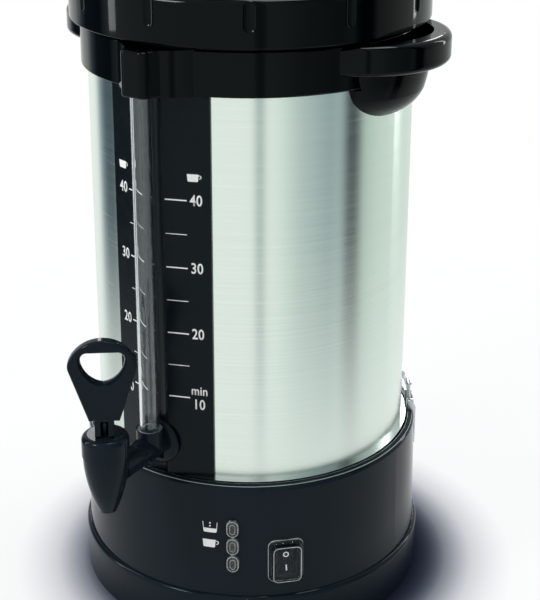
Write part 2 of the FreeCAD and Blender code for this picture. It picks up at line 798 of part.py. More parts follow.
tube = ring("sight_tube", s.tube_radius, s.tube_radius - s.tube_wall, tube_foot, s.tube_head)
piece(place(tube, (0, -s.tube_reach, 0)), "sight_tube")
tube_seal = ring("tube_seal", s.tube_radius + s.seal_wall, s.tube_radius, tube_foot, seat_top - 0.5)
piece(place(tube_seal, (0, -s.tube_reach, 0)), "tube_seal_lower")
tube_cap = turned("tube_cap", [
    (s.tube_radius, s.tube_head - 8),
    (s.tube_radius + s.cap_wall, s.tube_head - 8),
    (s.tube_radius + s.cap_wall, s.tube_head + 1.5),
    (2, s.tube_head + 1.5),
    (2, s.tube_head),
    (s.tube_radius, s.tube_head),
])
piece(place(tube_cap, (0, -s.tube_reach, 0)), "tube_cap_upper")

# Tap fitting: an elbow from the tank to the tap that also carries the sight tube

fitting_back = s.tank_radius + 1.6
arm_end = s.tap_reach - s.chamber_radius - 1.6
spigot = rod("spigot", s.spigot_radius, fitting_back - s.tank_radius + 14,
             (0, -fitting_back, s.arm_height), "Y")
arm = rod("arm", s.arm_radius, arm_end - fitting_back, (0, -arm_end, s.arm_height), "Y")
seat = rod("seat", s.seat_radius, seat_top - s.arm_height, (0, -s.tube_reach, s.arm_height))
arm_way = rod("arm_way", s.arm_bore, arm_end - s.tank_radius + 30, (0, -arm_end - 5, s.arm_height), "Y")
seat_room = rod("seat_room", s.tube_radius + s.seal_wall, seat_top, (0, -s.tube_reach, tube_foot))
seat_way = rod("seat_way", s.tube_radius - s.tube_wall - 1, tube_foot - s.arm_height + 1,
               (0, -s.tube_reach, s.arm_height))
piece(cut("fitting_cut", fuse("fitting_full", spigot, arm, seat), arm_way, seat_room, seat_way),
      "tap_fitting")
washer = rod("washer", s.nut_radius, fitting_back - s.tank_radius, (0, -fitting_back, s.arm_height), "Y")
piece(cut("washer_cut", washer, rod("washer_hole", s.spigot_radius, 20,
                                    (0, -fitting_back - 5, s.arm_height), "Y")), "tank_washer")
nut_face = tank_bore - 0.7
nut = doc.addObject("Part::Prism", "nut_blank")
nut.Polygon = 6
bind(nut, "Circumradius", s.nut_radius)
bind(nut, "Height", s.nut_thick)
place(nut, (0, -nut_face, s.arm_height), (1, 0, 0), -90)
piece(cut("nut_cut", nut, rod("nut_hole", s.spigot_radius, 20, (0, -nut_face - 5, s.arm_height), "Y")),
      "tank_nut")
disc_face = lip_y + 0.1
disc = turned("disc", [
    (s.arm_radius + s.slip, 0),
    (s.disc_radius, 0),
    (s.disc_radius, 0.8),
    (s.disc_radius - 4, s.disc_thick, 6),
    (s.arm_radius + s.slip, s.disc_thick),
])
place(disc, (0, -disc_face, s.arm_height), (1, 0, 0), 90)
piece(cut("disc_cut", disc, rod("disc_relief", s.seat_radius + s.slip, 30,
                                (0, -s.tube_reach, s.arm_height - 10))), "tap_disc")

# Tap: barrel, bonnet, sprung stem with a soft cup, and the key lever

barrel_blank = turned("barrel_blank", [
    (s.outlet_bore, outlet_height),
    (s.outlet_radius - 0.8, outlet_height),
    (s.outlet_radius, outlet_height + 2),
    (s.barrel_radius, barrel_top, s.barrel_curve),
    (s.chamber_radius, barrel_top),
    (s.chamber_radius, seat_height),
    (s.outlet_bore + 1.2, seat_height),
    (s.outlet_bore, seat_height - 2),
])
place(barrel_blank, (0, -s.tap_reach, 0))
arm_socket = rod("arm_socket", s.arm_radius, s.barrel_radius, (0, -s.tap_reach + s.chamber_radius + 1.6, s.arm_height), "Y")
arm_port = rod("arm_port", s.arm_bore, s.barrel_radius, (0, -s.tap_reach, s.arm_height), "Y")
piece(cut("barrel_cut", barrel_blank, arm_socket, arm_port), "tap_barrel")
bonnet = turned("bonnet", [
    (s.cavity_radius, bonnet_skirt),
    (s.chamber_radius, bonnet_skirt),
    (s.chamber_radius, barrel_top),
    (s.bonnet_radius, barrel_top),
    (s.bonnet_radius, bonnet_top - s.bonnet_round),
    (s.bonnet_radius - s.bonnet_round, bonnet_top, s.bonnet_round),
    (s.stem_radius + s.stem_fit, bonnet_top),
    (s.stem_radius + s.stem_fit, cavity_top),
    (s.cavity_radius, cavity_top),
])
piece(place(bonnet, (0, -s.tap_reach, 0)), "tap_bonnet")
cup_foot = seat_height + 0.1
cup_top = cup_foot + s.cup_tall
cup = turned("cup", [
    (0, cup_foot),
    (s.cup_radius, cup_foot),
    (s.cup_radius, cup_foot + 2.5),
    (s.cup_radius - 1.6, cup_top),
    (s.stem_radius - 0.6 + s.stem_fit, cup_top),
    (s.stem_radius - 0.6 + s.stem_fit, cup_foot + 2.5),
    (0, cup_foot + 2.5),
])
piece(place(cup, (0, -s.tap_reach, 0)), "seat_cup")
stem_foot = cup_foot + 2.6
eye_top = pin_height + 3.0
stem_bar = turned("stem_bar", [
    (0, stem_foot),
    (s.stem_radius - 0.6, stem_foot),
    (s.stem_radius - 0.6, cup_top + 0.2),
    (s.stem_collar, cup_top + 0.2),
    (s.stem_collar, cup_top + 2.0),
    (s.stem_radius, cup_top + 2.0),
    (s.stem_radius, pin_height),
    (s.stem_radius - 1.0, eye_top, 3.2),
    (0, eye_top),
])
eye_cheeks = [block("eye_cheek%d" % number, (-10, low, bonnet_top - s.eye_sunk), (10, high, eye_top + 2))
              for number, (low, high) in enumerate(((s.eye_width / 2, 10), (-10, -s.eye_width / 2)))]
eye_hole = rod("eye_hole", s.pin_radius, 20, (0, -10, pin_height), "Y")
stem_cut = cut("stem_cut", stem_bar, *eye_cheeks, eye_hole)
piece(place(stem_cut, (0, -s.tap_reach, 0), (0, 0, 1), facing(s.lever_turn)), "tap_stem")
pin_bar = rod("pin_bar", s.pin_radius, s.key_neck - 0.6, (0, -s.key_neck / 2 + 0.3, pin_height), "Y")
piece(place(group("pin_full", [pin_bar]), (0, -s.tap_reach, 0), (0, 0, 1), facing(s.lever_turn)), "lever_pin")

half_key = s.key_width / 2
half_neck = s.key_neck / 2
crown_mid = key_top - s.key_crown
corner_x = half_key - s.key_corner
corner_rise = root((s.key_crown - s.key_corner) * (s.key_crown - s.key_corner) - corner_x * corner_x)
corner_z = crown_mid + corner_rise
crown_share = s.key_crown / (s.key_crown - s.key_corner)
side_x = corner_x + s.key_corner * cosine(s.key_flare)
side_z = corner_z - s.key_corner * sine(s.key_flare)
foot_x = side_x - (side_z - key_low) * sine(s.key_flare) / cosine(s.key_flare)
outer = moulded("key_outer", "YZ_Plane", [
    (-foot_x, key_low),
    (foot_x, key_low),
    (side_x, side_z),
    (corner_x * crown_share, crown_mid + corner_rise * crown_share, s.key_corner),
    (-corner_x * crown_share, crown_mid + corner_rise * crown_share, s.key_crown),
    (-side_x, side_z, s.key_corner),
], s.key_thick, both=True)
key_soft = rounded("key_soft", outer, s.key_edge, lambda edge: edge.BoundBox.XLength < 0.01)
eye_x = s.key_eye_width / 2 - s.key_eye_corner
eye_crown_mid = key_top - s.key_eye_drop - s.key_eye_crown
eye_span = s.key_eye_crown - s.key_eye_corner
eye_rise = root(eye_span * eye_span - eye_x * eye_x)
eye_z = eye_crown_mid + eye_rise
eye_foot = key_top - s.key_eye_drop - s.key_eye_tall + s.key_eye_corner
eye_side = root(eye_x * eye_x + (eye_z - eye_foot) * (eye_z - eye_foot))
lean_x = s.key_eye_corner * (eye_z - eye_foot) / eye_side
lean_z = s.key_eye_corner * eye_x / eye_side
eye_share = s.key_eye_crown / eye_span
key_hole = moulded("key_hole", "YZ_Plane", [
    (-lean_x, eye_foot - lean_z),
    (lean_x, eye_foot - lean_z, s.key_eye_corner),
    (eye_x + lean_x, eye_z - lean_z),
    (eye_x * eye_share, eye_crown_mid + eye_rise * eye_share, s.key_eye_corner),
    (-eye_x * eye_share, eye_crown_mid + eye_rise * eye_share, s.key_eye_crown),
    (-eye_x - lean_x, eye_z - lean_z, s.key_eye_corner),
], s.key_thick + 4, both=True)
fork = moulded("fork", "XZ_Plane", [
    (-3.6, key_foot),
    (5.6, key_foot),
    (6.6, key_foot + 1.0, 1.0),
    (s.key_thick / 2, key_low + 3.0),
    (-s.key_thick / 2, key_low + 3.0),
    (-4.2, key_foot + 1.2),
], s.key_neck, both=True)
slot = block("fork_slot", (-10, -s.eye_width / 2 - 0.1, key_foot - 1),
             (10, s.eye_width / 2 + 0.1, eye_top + 1.2))
key_pin_hole = rod("key_pin_hole", s.pin_radius + s.slip, 20, (0, -10, pin_height), "Y")
key_cut = cut("key_cut", fuse("key_full", key_soft, fork), key_hole, slot, key_pin_hole)
piece(place(key_cut, (0, -s.tap_reach, 0), (0, 0, 1), facing(s.lever_turn)), "key_lever")

# Tap spring: one unbroken coil between the stem's collar and the bonnet's roof

coil_foot = cup_top + 2.0 + s.spring_wire
coil_room = cavity_top - s.spring_wire * 2 - (cup_top + 2.0) - 0.1
SPRING_TURNS = 5


def coil():
    """A helix of wire whose pitch fills the room between its two seats."""
    tall = coil_room.value
    helix = Part.makeHelix(tall / SPRING_TURNS, tall, s.spring_radius.value)
    start = FreeCAD.Vector(s.spring_radius.value, 0, 0)
    slope = FreeCAD.Vector(0, 2 * math.pi * s.spring_radius.value, tall / SPRING_TURNS)
    wire = Part.Wire([Part.Circle(start, slope, s.spring_wire.value).toShape()])
    return Part.Wire(helix.Edges).makePipeShell([wire], True, True)


spring = doc.addObject("Part::Feature", "spring_coil")
spring.Shape = coil()
place(spring, (0, -s.tap_reach, coil_foot))
piece(spring, "tap_spring")

# Collar: a black ring with a nose over the sight tube and a neck for the lid

collar_ring = turned("collar_ring", [
    (s.jacket_radius + s.slip, s.collar_foot),
    (s.collar_radius - 1.2, s.collar_foot),
    (s.collar_radius, s.collar_foot + 1.2, 1.2),
    (s.collar_radius, s.collar_top - 1.2),
    (s.collar_radius - 1.2, s.collar_top, 1.2),
    (s.neck_radius, s.collar_top),
    (s.neck_radius, s.neck_top),
    (s.neck_bore, s.neck_top),
    (s.neck_bore, s.shoulder_foot),
    (s.jacket_radius + s.slip, s.shoulder_foot),
])
nose_start = s.jacket_radius + 2.0
nose_plan = moulded("nose_plan", "XY_Plane", [
    (-s.nose_flank, -nose_start + 5),
    (s.nose_flank, -nose_start + 5),
    (s.nose_half + 3.5, -s.nose_tip + 10, -60),
    (s.nose_half, -s.nose_tip + 4.5),
    (s.nose_half - 4.5, -s.nose_tip, -4.5),
    (-s.nose_half + 4.5, -s.nose_tip),
    (-s.nose_half, -s.nose_tip + 4.5, -4.5),
    (-s.nose_half - 3.5, -s.nose_tip + 10),
], s.collar_top - s.collar_foot)
place(nose_plan, (0, 0, s.collar_foot))
nose_soft = rounded("nose_soft", nose_plan, 1.5,
                    lambda edge: edge.BoundBox.YMax < -s.nose_tip.value + 10.5
                    and (level(edge, s.collar_foot) or level(edge, s.collar_top)))
jacket_room = rod("jacket_room", s.jacket_radius + s.slip, s.shoulder_foot, (0, 0, 0))
tube_room = rod("tube_room", s.tube_radius + s.slip, 60, (0, -s.tube_reach, s.collar_foot - 10))
cap_room = rod("cap_room", s.tube_radius + s.cap_wall + s.slip, s.tube_head + 1.6 - s.collar_foot - 10,
               (0, -s.tube_reach, s.collar_foot + 10))
tube_room_low = cut("tube_room_low", tube_room, block("tube_room_end", (-20, -s.nose_tip - 5, s.tube_head + 1.6),
                                                      (20, -90, s.neck_top + 40)))
LUG_COUNT = 3
lug_foot = s.neck_top - 7.0


def lugs(name, inner, outer, low, high, turn):
    """Three equal bayonet lugs, cut from a ring by wedges."""
    band = ring(name + "_band", outer, inner, low, high)
    wedges = []
    for number in range(LUG_COUNT):
        far = s.lid_radius + 10
        wedge = moulded(name + "_wedge%d" % number, "XY_Plane", [
            (0, 0), (far * cosine(s.lug_spread / 2), -far * sine(s.lug_spread / 2)),
            (far * cosine(s.lug_spread / 2), far * sine(s.lug_spread / 2))], s.neck_top + 50)
        wedges.append(swing(wedge, turn + number * 360 / LUG_COUNT))
    return common(name, band, fuse(name + "_wedges", *wedges))


lid_bore = s.lid_radius - s.lid_wall
lug_top = lug_foot + s.lug_thick
collar_lugs = lugs("collar_lugs", s.neck_radius - 0.5, lid_bore - 0.6, lug_foot, lug_top, as_size(0))
piece(cut("collar_cut", fuse("collar_full", collar_ring, nose_soft, collar_lugs),
          jacket_room, tube_room_low, cap_room), "collar")

# Handles: a scooped grip over a round lobe, one on each side

lobe_start = s.jacket_radius - s.lobe_centre
lobe_outline = [
    (0, s.lobe_foot),
    (lobe_start, s.lobe_foot),
    (s.lobe_radius - 3, s.lobe_foot + 14, 26),
    (s.lobe_radius, s.handle_foot + 4, 70),
    (0, s.handle_foot + 4),
]
scoop_outline = [
    (0, s.lobe_foot + s.handle_wall + 3),
    (lobe_start - s.handle_wall + 1, s.lobe_foot + s.handle_wall + 3),
    (s.lobe_radius - 3 - s.handle_wall, s.lobe_foot + 16, 26),
    (s.lobe_radius - s.handle_wall - 0.8, s.handle_top + 5),
    (0, s.handle_top + 5),
]
for number, (label, turn) in enumerate((("handle_right", 0), ("handle_left", 180))):
    lobe = place(turned("lobe%d" % number, lobe_outline), (s.lobe_centre, 0, 0))
    grip_disc = turned("grip_disc%d" % number, [
        (0, s.handle_foot),
        (s.handle_radius - 4, s.handle_foot),
        (s.handle_radius, s.handle_foot + 4, 4),
        (s.handle_radius, s.handle_top - 4),
        (s.handle_radius - 4, s.handle_top, 4),
        (0, s.handle_top),
    ])
    place(grip_disc, (s.handle_centre, 0, 0))
    scoop = place(turned("scoop%d" % number, scoop_outline), (s.lobe_centre, 0, 0))
    pocket = turned("grip_pocket%d" % number, [
        (0, s.handle_foot + 1.5),
        (s.handle_radius - s.handle_rim - 1, s.handle_foot + 1.5),
        (s.handle_radius - s.handle_rim, s.handle_top + 5),
        (0, s.handle_top + 5),
    ])
    place(pocket, (s.handle_centre, 0, 0))
    body_room = rod("body_room%d" % number, s.jacket_radius + s.slip, s.collar_foot, (0, 0, 0))
    collar_room = rod("collar_room%d" % number, s.collar_radius, 60, (0, 0, s.collar_foot - 1))
    shell = cut("handle_cut%d" % number, fuse("handle_full%d" % number, lobe, grip_disc),
                scoop, pocket, body_room, collar_room)
    piece(swing(shell, as_size(turn)), label)

# Lid: a fluted skirt and a low dome over a seal, with three inward lugs and a knob

dome_start = s.lid_radius - s.lid_round
lid_shape = turned("lid_shape", [
    (lid_bore, s.lid_foot),
    (s.lid_radius - 1.0, s.lid_foot),
    (s.lid_radius, s.lid_foot + 1.0, 1.0),
    (s.lid_radius, s.lid_edge - s.lid_round),
    (dome_start, s.lid_edge, s.lid_round),
    (14, s.lid_crown, 620),
    (0, s.lid_crown),
    (0, s.lid_crown - s.lid_wall),
    (14, s.lid_crown - s.lid_wall),
    (dome_start - 3, s.lid_edge - s.lid_wall, -620),
    (lid_bore, s.lid_edge - s.lid_wall - 3, -4),
])
flutes = []
for number in range(int(s.flute_count.value)):
    angle = as_size(number) * 360 / s.flute_count + 2
    centre = s.lid_radius + s.flute_radius - s.flute_depth
    foot = s.lid_foot + s.flute_foot + s.flute_radius
    bar = rod("flute_bar%d" % number, s.flute_radius, s.lid_edge - foot + 10, (centre, 0, foot))
    ball = doc.addObject("Part::Sphere", "flute_ball%d" % number)
    bind(ball, "Radius", s.flute_radius)
    place(ball, (centre, 0, foot))
    flutes.append(swing(fuse("flute%d" % number, bar, ball), angle))
catch_top = lug_foot - s.lug_gap
lid_lugs = lugs("lid_lugs", s.neck_radius + 0.6, lid_bore + 0.5, catch_top - s.lug_thick, catch_top, s.lug_turn)
seal_hold = ring("seal_hold", s.neck_radius + 1.5, s.neck_radius + 0.6, s.neck_top + 2.5, s.lid_edge - 1.0)
knob_hole = rod("knob_hole", 2.2, 40, (0, 0, s.lid_crown - 20))
piece(cut("lid_cut", fuse("lid_full", lid_shape, lid_lugs, seal_hold), knob_hole, *flutes), "lid_shell")
seal_roof = s.lid_edge - s.lid_wall - s.slip
piece(ring("lid_seal", s.neck_radius + 0.5, s.neck_bore - 1.5, s.neck_top + 0.1, seal_roof), "lid_seal")
knob_foot = s.lid_crown + 0.1
knob_blank = turned("knob_blank", [
    (0, knob_foot),
    (s.knob_waist + 3.5, knob_foot),
    (s.knob_waist, knob_foot + 6, -7),
    (s.knob_radius, s.knob_top - 8, -14),
    (s.knob_radius - 6, s.knob_top, 9),
    (0, s.knob_top),
])
piece(cut("knob_cut", knob_blank, rod("knob_bore", 2.0, 14, (0, 0, knob_foot - 1))), "lid_knob")
knob_screw_head = rod("knob_screw_head", 4.0, 2.2, (0, 0, s.lid_crown - s.lid_wall - 2.2))
knob_screw_rod = rod("knob_screw_rod", 2.0, 16, (0, 0, s.lid_crown - s.lid_wall - 2.2))
piece(fuse("knob_screw_full", knob_screw_head, knob_screw_rod), "knob_screw")

# Percolator: a riser tube on a funnel foot, a holed basket and its spreader

well_top = well_floor + s.tank_wall
riser_blank = turned("riser_blank", [
    (s.riser_cone - 0.8, well_top),
    (s.riser_cone, well_top),
    (s.riser_cone - 2, well_top + 6),
    (s.riser_radius, well_top + 13, -12),
    (s.riser_radius, s.riser_top),
    (s.riser_radius - s.riser_wall, s.riser_top),
    (s.riser_radius - s.riser_wall, well_top + 13),
    (s.riser_cone - 2.8, well_top + 6, 12.8),
])
piece(riser_blank, "riser_tube")
stop_foot = s.basket_foot - 3.0
piece(ring("riser_stop", s.riser_radius + 3, s.riser_radius, stop_foot, s.basket_foot), "basket_stop")
sleeve = s.riser_radius + s.loose
basket_blank = turned("basket_blank", [
    (sleeve, s.basket_foot),
    (s.basket_radius - 4, s.basket_foot),
    (s.basket_radius, s.basket_foot + 4, 4),
    (s.basket_radius, s.basket_top - 2),
    (s.basket_radius + 3, s.basket_top - 2),
    (s.basket_radius + 3, s.basket_top - 2 + s.basket_wall),
    (s.basket_radius - s.basket_wall, s.basket_top - 2 + s.basket_wall),
    (s.basket_radius - s.basket_wall, s.basket_foot + 4),
    (s.basket_radius - 4, s.basket_foot + s.basket_wall, -3),
    (sleeve + s.basket_wall, s.basket_foot + s.basket_wall),
    (sleeve + s.basket_wall, s.basket_top - 6),
    (sleeve, s.basket_top - 6),
])
HOLE_RINGS = ((20, 8), (34, 14), (48, 20), (62, 26))
basket_holes = []
for reach, count in HOLE_RINGS:
    for number in range(int(count)):
        angle = 360.0 * number / count
        east, north = around(as_size(reach), angle)
        basket_holes.append(rod("basket_hole%d_%d" % (reach, number), 1.6, 6, (east, north, s.basket_foot - 2)))
piece(cut("basket_cut", basket_blank, *basket_holes), "filter_basket")
spreader_low = s.basket_top - 1.0
spreader = turned("spreader", [
    (sleeve, spreader_low + 1),
    (s.basket_radius - 2, spreader_low),
    (s.basket_radius + 2, spreader_low),
    (s.basket_radius + 2, spreader_low + 1),
    (s.basket_radius - 2, spreader_low + 1),
    (sleeve + 1, spreader_low + 2),
    (sleeve + 1, spreader_low + 7),
    (sleeve, spreader_low + 7),
])
spreader_holes = []
for reach, count in HOLE_RINGS[:3]:
    for number in range(int(count / 2)):
        angle = 720.0 * number / count
        east, north = around(as_size(reach), angle)
        spreader_holes.append(rod("spread_hole%d_%d" % (reach, number), 1.6, 8, (east, north, spreader_low - 2)))
piece(cut("spreader_cut", spreader, *spreader_holes), "basket_lid")

# Latches: a draw latch on each side ties the container to the base

sheet_thick = s.latch_sheet
plate_back = s.latch_pin_reach - 2.6
plate_front = plate_back + sheet_thick
ear_out = s.latch_half - sheet_thick - 0.4
ear_in = ear_out - sheet_thick
trough = 1.5
hook_reach = s.loop_bar_reach
hook_height = s.loop_bar_height + 0.3
keeper_back = s.jacket_radius + 0.05
lever_face = s.latch_pin_reach + 3.6
loop_length_reach = s.loop_pin_reach - s.loop_bar_reach
loop_rise = s.loop_bar_height - s.loop_pin_height
loop_length = root(loop_length_reach * loop_length_reach + loop_rise * loop_rise)
latch_pins = []
latch_rivets = []
for number, (side, sign) in enumerate((("right", 1), ("left", -1))):
    turn = facing(s.latch_turn * sign)
    keeper = moulded("keeper_plate%d" % number, "XZ_Plane", [
        (keeper_back, keeper_top),
        (keeper_back, hook_height + 4.5),
        (hook_reach - trough - sheet_thick, hook_height + 1.5),
        (hook_reach - trough - sheet_thick, hook_height),
        (hook_reach + trough + sheet_thick, hook_height, trough + sheet_thick + 0.001),
        (hook_reach + trough, hook_height),
        (hook_reach - trough, hook_height, -(trough + 0.001)),
        (hook_reach - trough, hook_height + 1.9),
        (keeper_back + sheet_thick, hook_height + 4.9),
        (keeper_back + sheet_thick, keeper_top),
    ], s.loop_half * 2 - 3.0, both=True)
    keeper_top_plate = block("keeper_wide%d" % number, (keeper_back, -7, hook_height + 5.5),
                             (keeper_back + sheet_thick, 7, keeper_top))
    piece(swing(fuse("keeper_full%d" % number, keeper, keeper_top_plate), turn), "latch_keeper_" + side)
    latch_plate = block("latch_back%d" % number, (plate_back, -ear_out, s.notch_foot + 4),
                        (plate_front, ear_out, s.loop_pin_height - 2.5))
    ears = []
    for index, (low, high) in enumerate(((ear_in, ear_out), (-ear_out, -ear_in))):
        strip = block("ear_strip%d_%d" % (number, index), (plate_back, low, s.loop_pin_height - 4),
                      (plate_front, high, s.latch_pin_height + 2.5))
        ear = block("ear_%d_%d" % (number, index), (plate_back, low, s.latch_pin_height - 3),
                    (s.latch_pin_reach + 2.2, high, s.latch_pin_height + 2.5))
        ears += [strip, ear]
    ear_bore = rod("ear_bore%d" % number, s.latch_pin, 30, (s.latch_pin_reach, -15, s.latch_pin_height), "Y")
    piece(swing(cut("latch_base_cut%d" % number, fuse("latch_base_full%d" % number, latch_plate, *ears), ear_bore),
                turn), "latch_base_" + side)
    hood = moulded("lever_hood%d" % number, "XZ_Plane", [
        (s.latch_pin_reach - 1.6, s.loop_pin_height - 3.5),
        (lever_face - 1.4, s.notch_foot + 4),
        (lever_face, s.notch_foot + 3),
        (lever_face, s.latch_pin_height - 3),
        (s.latch_pin_reach, s.latch_pin_height + 2.4),
        (s.latch_pin_reach - 1.6, s.latch_pin_height + 2.0),
    ], s.latch_half * 2, both=True)
    hood_room = moulded("hood_room%d" % number, "XZ_Plane", [
        (s.latch_pin_reach - 8, s.notch_foot),
        (lever_face - sheet_thick, s.notch_foot),
        (lever_face - sheet_thick, s.latch_pin_height + 8),
        (s.latch_pin_reach - 8, s.latch_pin_height + 8),
    ], (s.latch_half - sheet_thick) * 2, both=True)
    hood_gap = block("hood_gap%d" % number, (s.latch_pin_reach - 8, -s.loop_half - 1.6, s.loop_pin_height - 3),
                     (lever_face + 5, s.loop_half + 1.6, s.latch_pin_height + 8))
    hood_bores = [
        rod("hood_bore%d" % number, s.latch_pin + s.slip, 30,
            (s.latch_pin_reach, -15, s.latch_pin_height), "Y"),
        rod("hood_bore_low%d" % number, s.latch_pin + s.slip, 30,
            (s.loop_pin_reach, -15, s.loop_pin_height), "Y"),
    ]
    piece(swing(cut("latch_lever_cut%d" % number, hood, hood_room, hood_gap, *hood_bores), turn),
          "latch_lever_" + side)
    foot_bar = rod("loop_foot%d" % number, s.latch_pin, s.latch_half * 2,
                   (s.loop_pin_reach, -s.latch_half, s.loop_pin_height), "Y")
    head_bar = rod("loop_head%d" % number, s.latch_pin, s.loop_half * 2,
                   (s.loop_bar_reach, -s.loop_half, s.loop_bar_height), "Y")
    lean_angle = Size(math.degrees(math.atan2(-loop_length_reach.value, loop_rise.value)),
                      "(-atan(%s / %s))" % (loop_length_reach.text, loop_rise.text))
    legs = []
    for index, across in enumerate((s.loop_half, -s.loop_half)):
        leg = rod("loop_leg%d_%d" % (number, index), s.latch_pin, loop_length, (0, 0, 0))
        legs.append(place(leg, (s.loop_pin_reach, across, s.loop_pin_height), (0, 1, 0), lean_angle))
    piece(swing(fuse("loop_full%d" % number, foot_bar, head_bar, *legs), turn), "latch_loop_" + side)
    for index, low in enumerate((ear_in, -s.latch_half)):
        stub = rod("latch_stub%d_%d" % (number, index), s.latch_pin, s.latch_half - ear_in,
                   (s.latch_pin_reach, low, s.latch_pin_height), "Y")
        latch_pins.append(swing(group("latch_stub_set%d_%d" % (number, index), [stub]), turn))
    for index, across in enumerate((-4, 4)):
        head = rod("rivet_head%d_%d" % (number, index), 1.8, 0.8,
                   (keeper_back + sheet_thick, across, keeper_top - 3), "X")
        latch_rivets.append(swing(group("rivet_set%d_%d" % (number, index), [head]), turn))
piece(group("latch_pins_all", latch_pins), "latch_pins")
piece(group("latch_rivets_all", latch_rivets), "latch_rivets")

doc.recompute()

FAULTS = [item.Name for item in doc.Objects if {"Invalid", "Error"} & set(item.State)]
if FAULTS:
    raise SystemExit("objects that failed: %s" % ", ".join(FAULTS))
os.makedirs("parts", exist_ok=True)
for label, item in PIECES.items():
    shape = item.Shape
    if shape.isNull() or not shape.isValid() or not shape.Solids:
        raise SystemExit("bad shape: %s" % label)
    shape.exportStep("parts/%s.step" % label)
print("%d pieces written" % len(PIECES))
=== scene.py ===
"""Looks of the coffee urn: its finishes, prints, studio and camera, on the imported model's frame.

Metres, Z up, the urn's axis at X = Y = 0 and the tap towards -Y. Angles round the urn are
counted from the tap's direction towards +X.
"""

import math

import bmesh
import bpy
from mathutils import Matrix, Vector
from mathutils.bvhtree import BVHTree


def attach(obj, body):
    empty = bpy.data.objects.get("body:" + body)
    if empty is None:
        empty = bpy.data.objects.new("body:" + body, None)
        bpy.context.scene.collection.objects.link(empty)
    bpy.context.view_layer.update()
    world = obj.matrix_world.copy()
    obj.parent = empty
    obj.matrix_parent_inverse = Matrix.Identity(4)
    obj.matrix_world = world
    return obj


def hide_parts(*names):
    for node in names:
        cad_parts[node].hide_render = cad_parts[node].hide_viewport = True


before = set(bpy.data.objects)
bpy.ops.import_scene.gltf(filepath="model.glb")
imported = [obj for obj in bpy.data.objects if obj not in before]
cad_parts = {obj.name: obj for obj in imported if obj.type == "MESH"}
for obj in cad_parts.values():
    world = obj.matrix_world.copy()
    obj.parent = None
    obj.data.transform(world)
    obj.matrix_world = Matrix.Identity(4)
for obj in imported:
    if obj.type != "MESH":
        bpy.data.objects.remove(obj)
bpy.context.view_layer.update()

# Camera
# A plain lens from the photograph's side, 32.4 degrees round from the tap and 19 degrees down.


def put(name, data):
    """A new object in the scene."""
    item = bpy.data.objects.new(name, data)
    bpy.context.scene.collection.objects.link(item)
    return item


camera_lens = bpy.data.cameras.new("camera")
camera_lens.sensor_width = 36.0
camera_lens.lens = 83.82
camera_lens.shift_x = 0.016
camera_lens.shift_y = -0.16
camera = put("camera", camera_lens)
camera_turn = math.radians(32.4)
camera_dip = 0.3325
camera_yaw = 0.0076
ahead = Vector((-math.sin(camera_turn), math.cos(camera_turn), 0))
aside = Vector((math.cos(camera_turn), math.sin(camera_turn), 0))
sight = (ahead + aside * camera_yaw).normalized() * math.cos(camera_dip)
sight.z = -math.sin(camera_dip)
camera.location = (0.4638, -0.7317, 0.5571)
camera.rotation_mode = "QUATERNION"
camera.rotation_quaternion = sight.to_track_quat("-Z", "Y")
bpy.context.scene.camera = camera

# Studio
# A white floor that keeps the urn's soft shadow, with a darker shadow painted round the foot,
# a white surround, one large soft lamp above the left front, a tall one on each side, one
# overhead and one behind.
bpy.context.scene.view_settings.view_transform = "Standard"


def add(tree, kind, inputs=(), **settings):
    """Add a node. Settings are its properties, inputs its sockets: a constant or an output."""
    made = tree.nodes.new(kind)
    for name, value in settings.items():
        setattr(made, name, value)
    for name, value in dict(inputs).items():
        if isinstance(value, bpy.types.NodeSocket):
            tree.links.new(value, made.inputs[name])
        else:
            made.inputs[name].default_value = value
    return made


def linear(code):
    """A colour from its sRGB hex code."""
    parts = [int(code[place:place + 2], 16) / 255 for place in (0, 2, 4)]
    bent = [part / 12.92 if part <= 0.04045 else ((part + 0.055) / 1.055) ** 2.4 for part in parts]
    return (*bent, 1.0)


def seen(tree):
    """One where the background is looked at, straight or in metal, gloss or glass."""
    path = add(tree, "ShaderNodeLightPath")
    first = add(tree, "ShaderNodeMath", {0: path.outputs["Is Camera Ray"],
                                         1: path.outputs["Is Glossy Ray"]}, operation="MAXIMUM")
    both = add(tree, "ShaderNodeMath", {0: first.outputs[0],
                                        1: path.outputs["Is Transmission Ray"]}, operation="MAXIMUM")
    return both.outputs[0]


world = bpy.data.worlds.new("studio")
world.use_nodes = True
bpy.context.scene.world = world
sky = world.node_tree
sky.nodes.clear()
around_light = add(sky, "ShaderNodeBackground", {"Color": linear("F4F6F8"), "Strength": 0.55})
backdrop = add(sky, "ShaderNodeBackground", {"Color": linear("FFFFFF"), "Strength": 1.0})
sky_mix = add(sky, "ShaderNodeMixShader", {0: seen(sky), 1: around_light.outputs[0],
                                           2: backdrop.outputs[0]})
# The room behind the lamps, as metal and gloss see it: white, with dim gaps between screens.
# Each row is a turn from the tap's direction and the shade there.
ROOM = ((-180, "E2EAE7"), (-160, "E2EAE7"), (-108, "FFFFFF"), (-100, "8C9CA6"), (-92, "3E4E5A"),
        (-74, "42525E"), (-64, "F6FAF8"), (34, "FFFFFF"), (37, "A4B0B4"), (40, "A4B0B4"),
        (43, "FFFFFF"), (50, "F4F8F6"), (58, "DFE8E6"), (67, "C2CDCE"), (76, "B6C2C4"),
        (89, "9BA9AF"), (98, "B4C1C4"), (104, "1E2C36"), (112, "1E2C36"), (118, "C2CDCA"),
        (135, "D8E2DC"), (158, "DAE3DF"), (180, "E2EAE7"))
way = add(sky, "ShaderNodeSeparateXYZ",
          {"Vector": add(sky, "ShaderNodeTexCoord").outputs["Generated"]})
behind = add(sky, "ShaderNodeMath", {0: way.outputs["Y"], 1: -1.0}, operation="MULTIPLY")
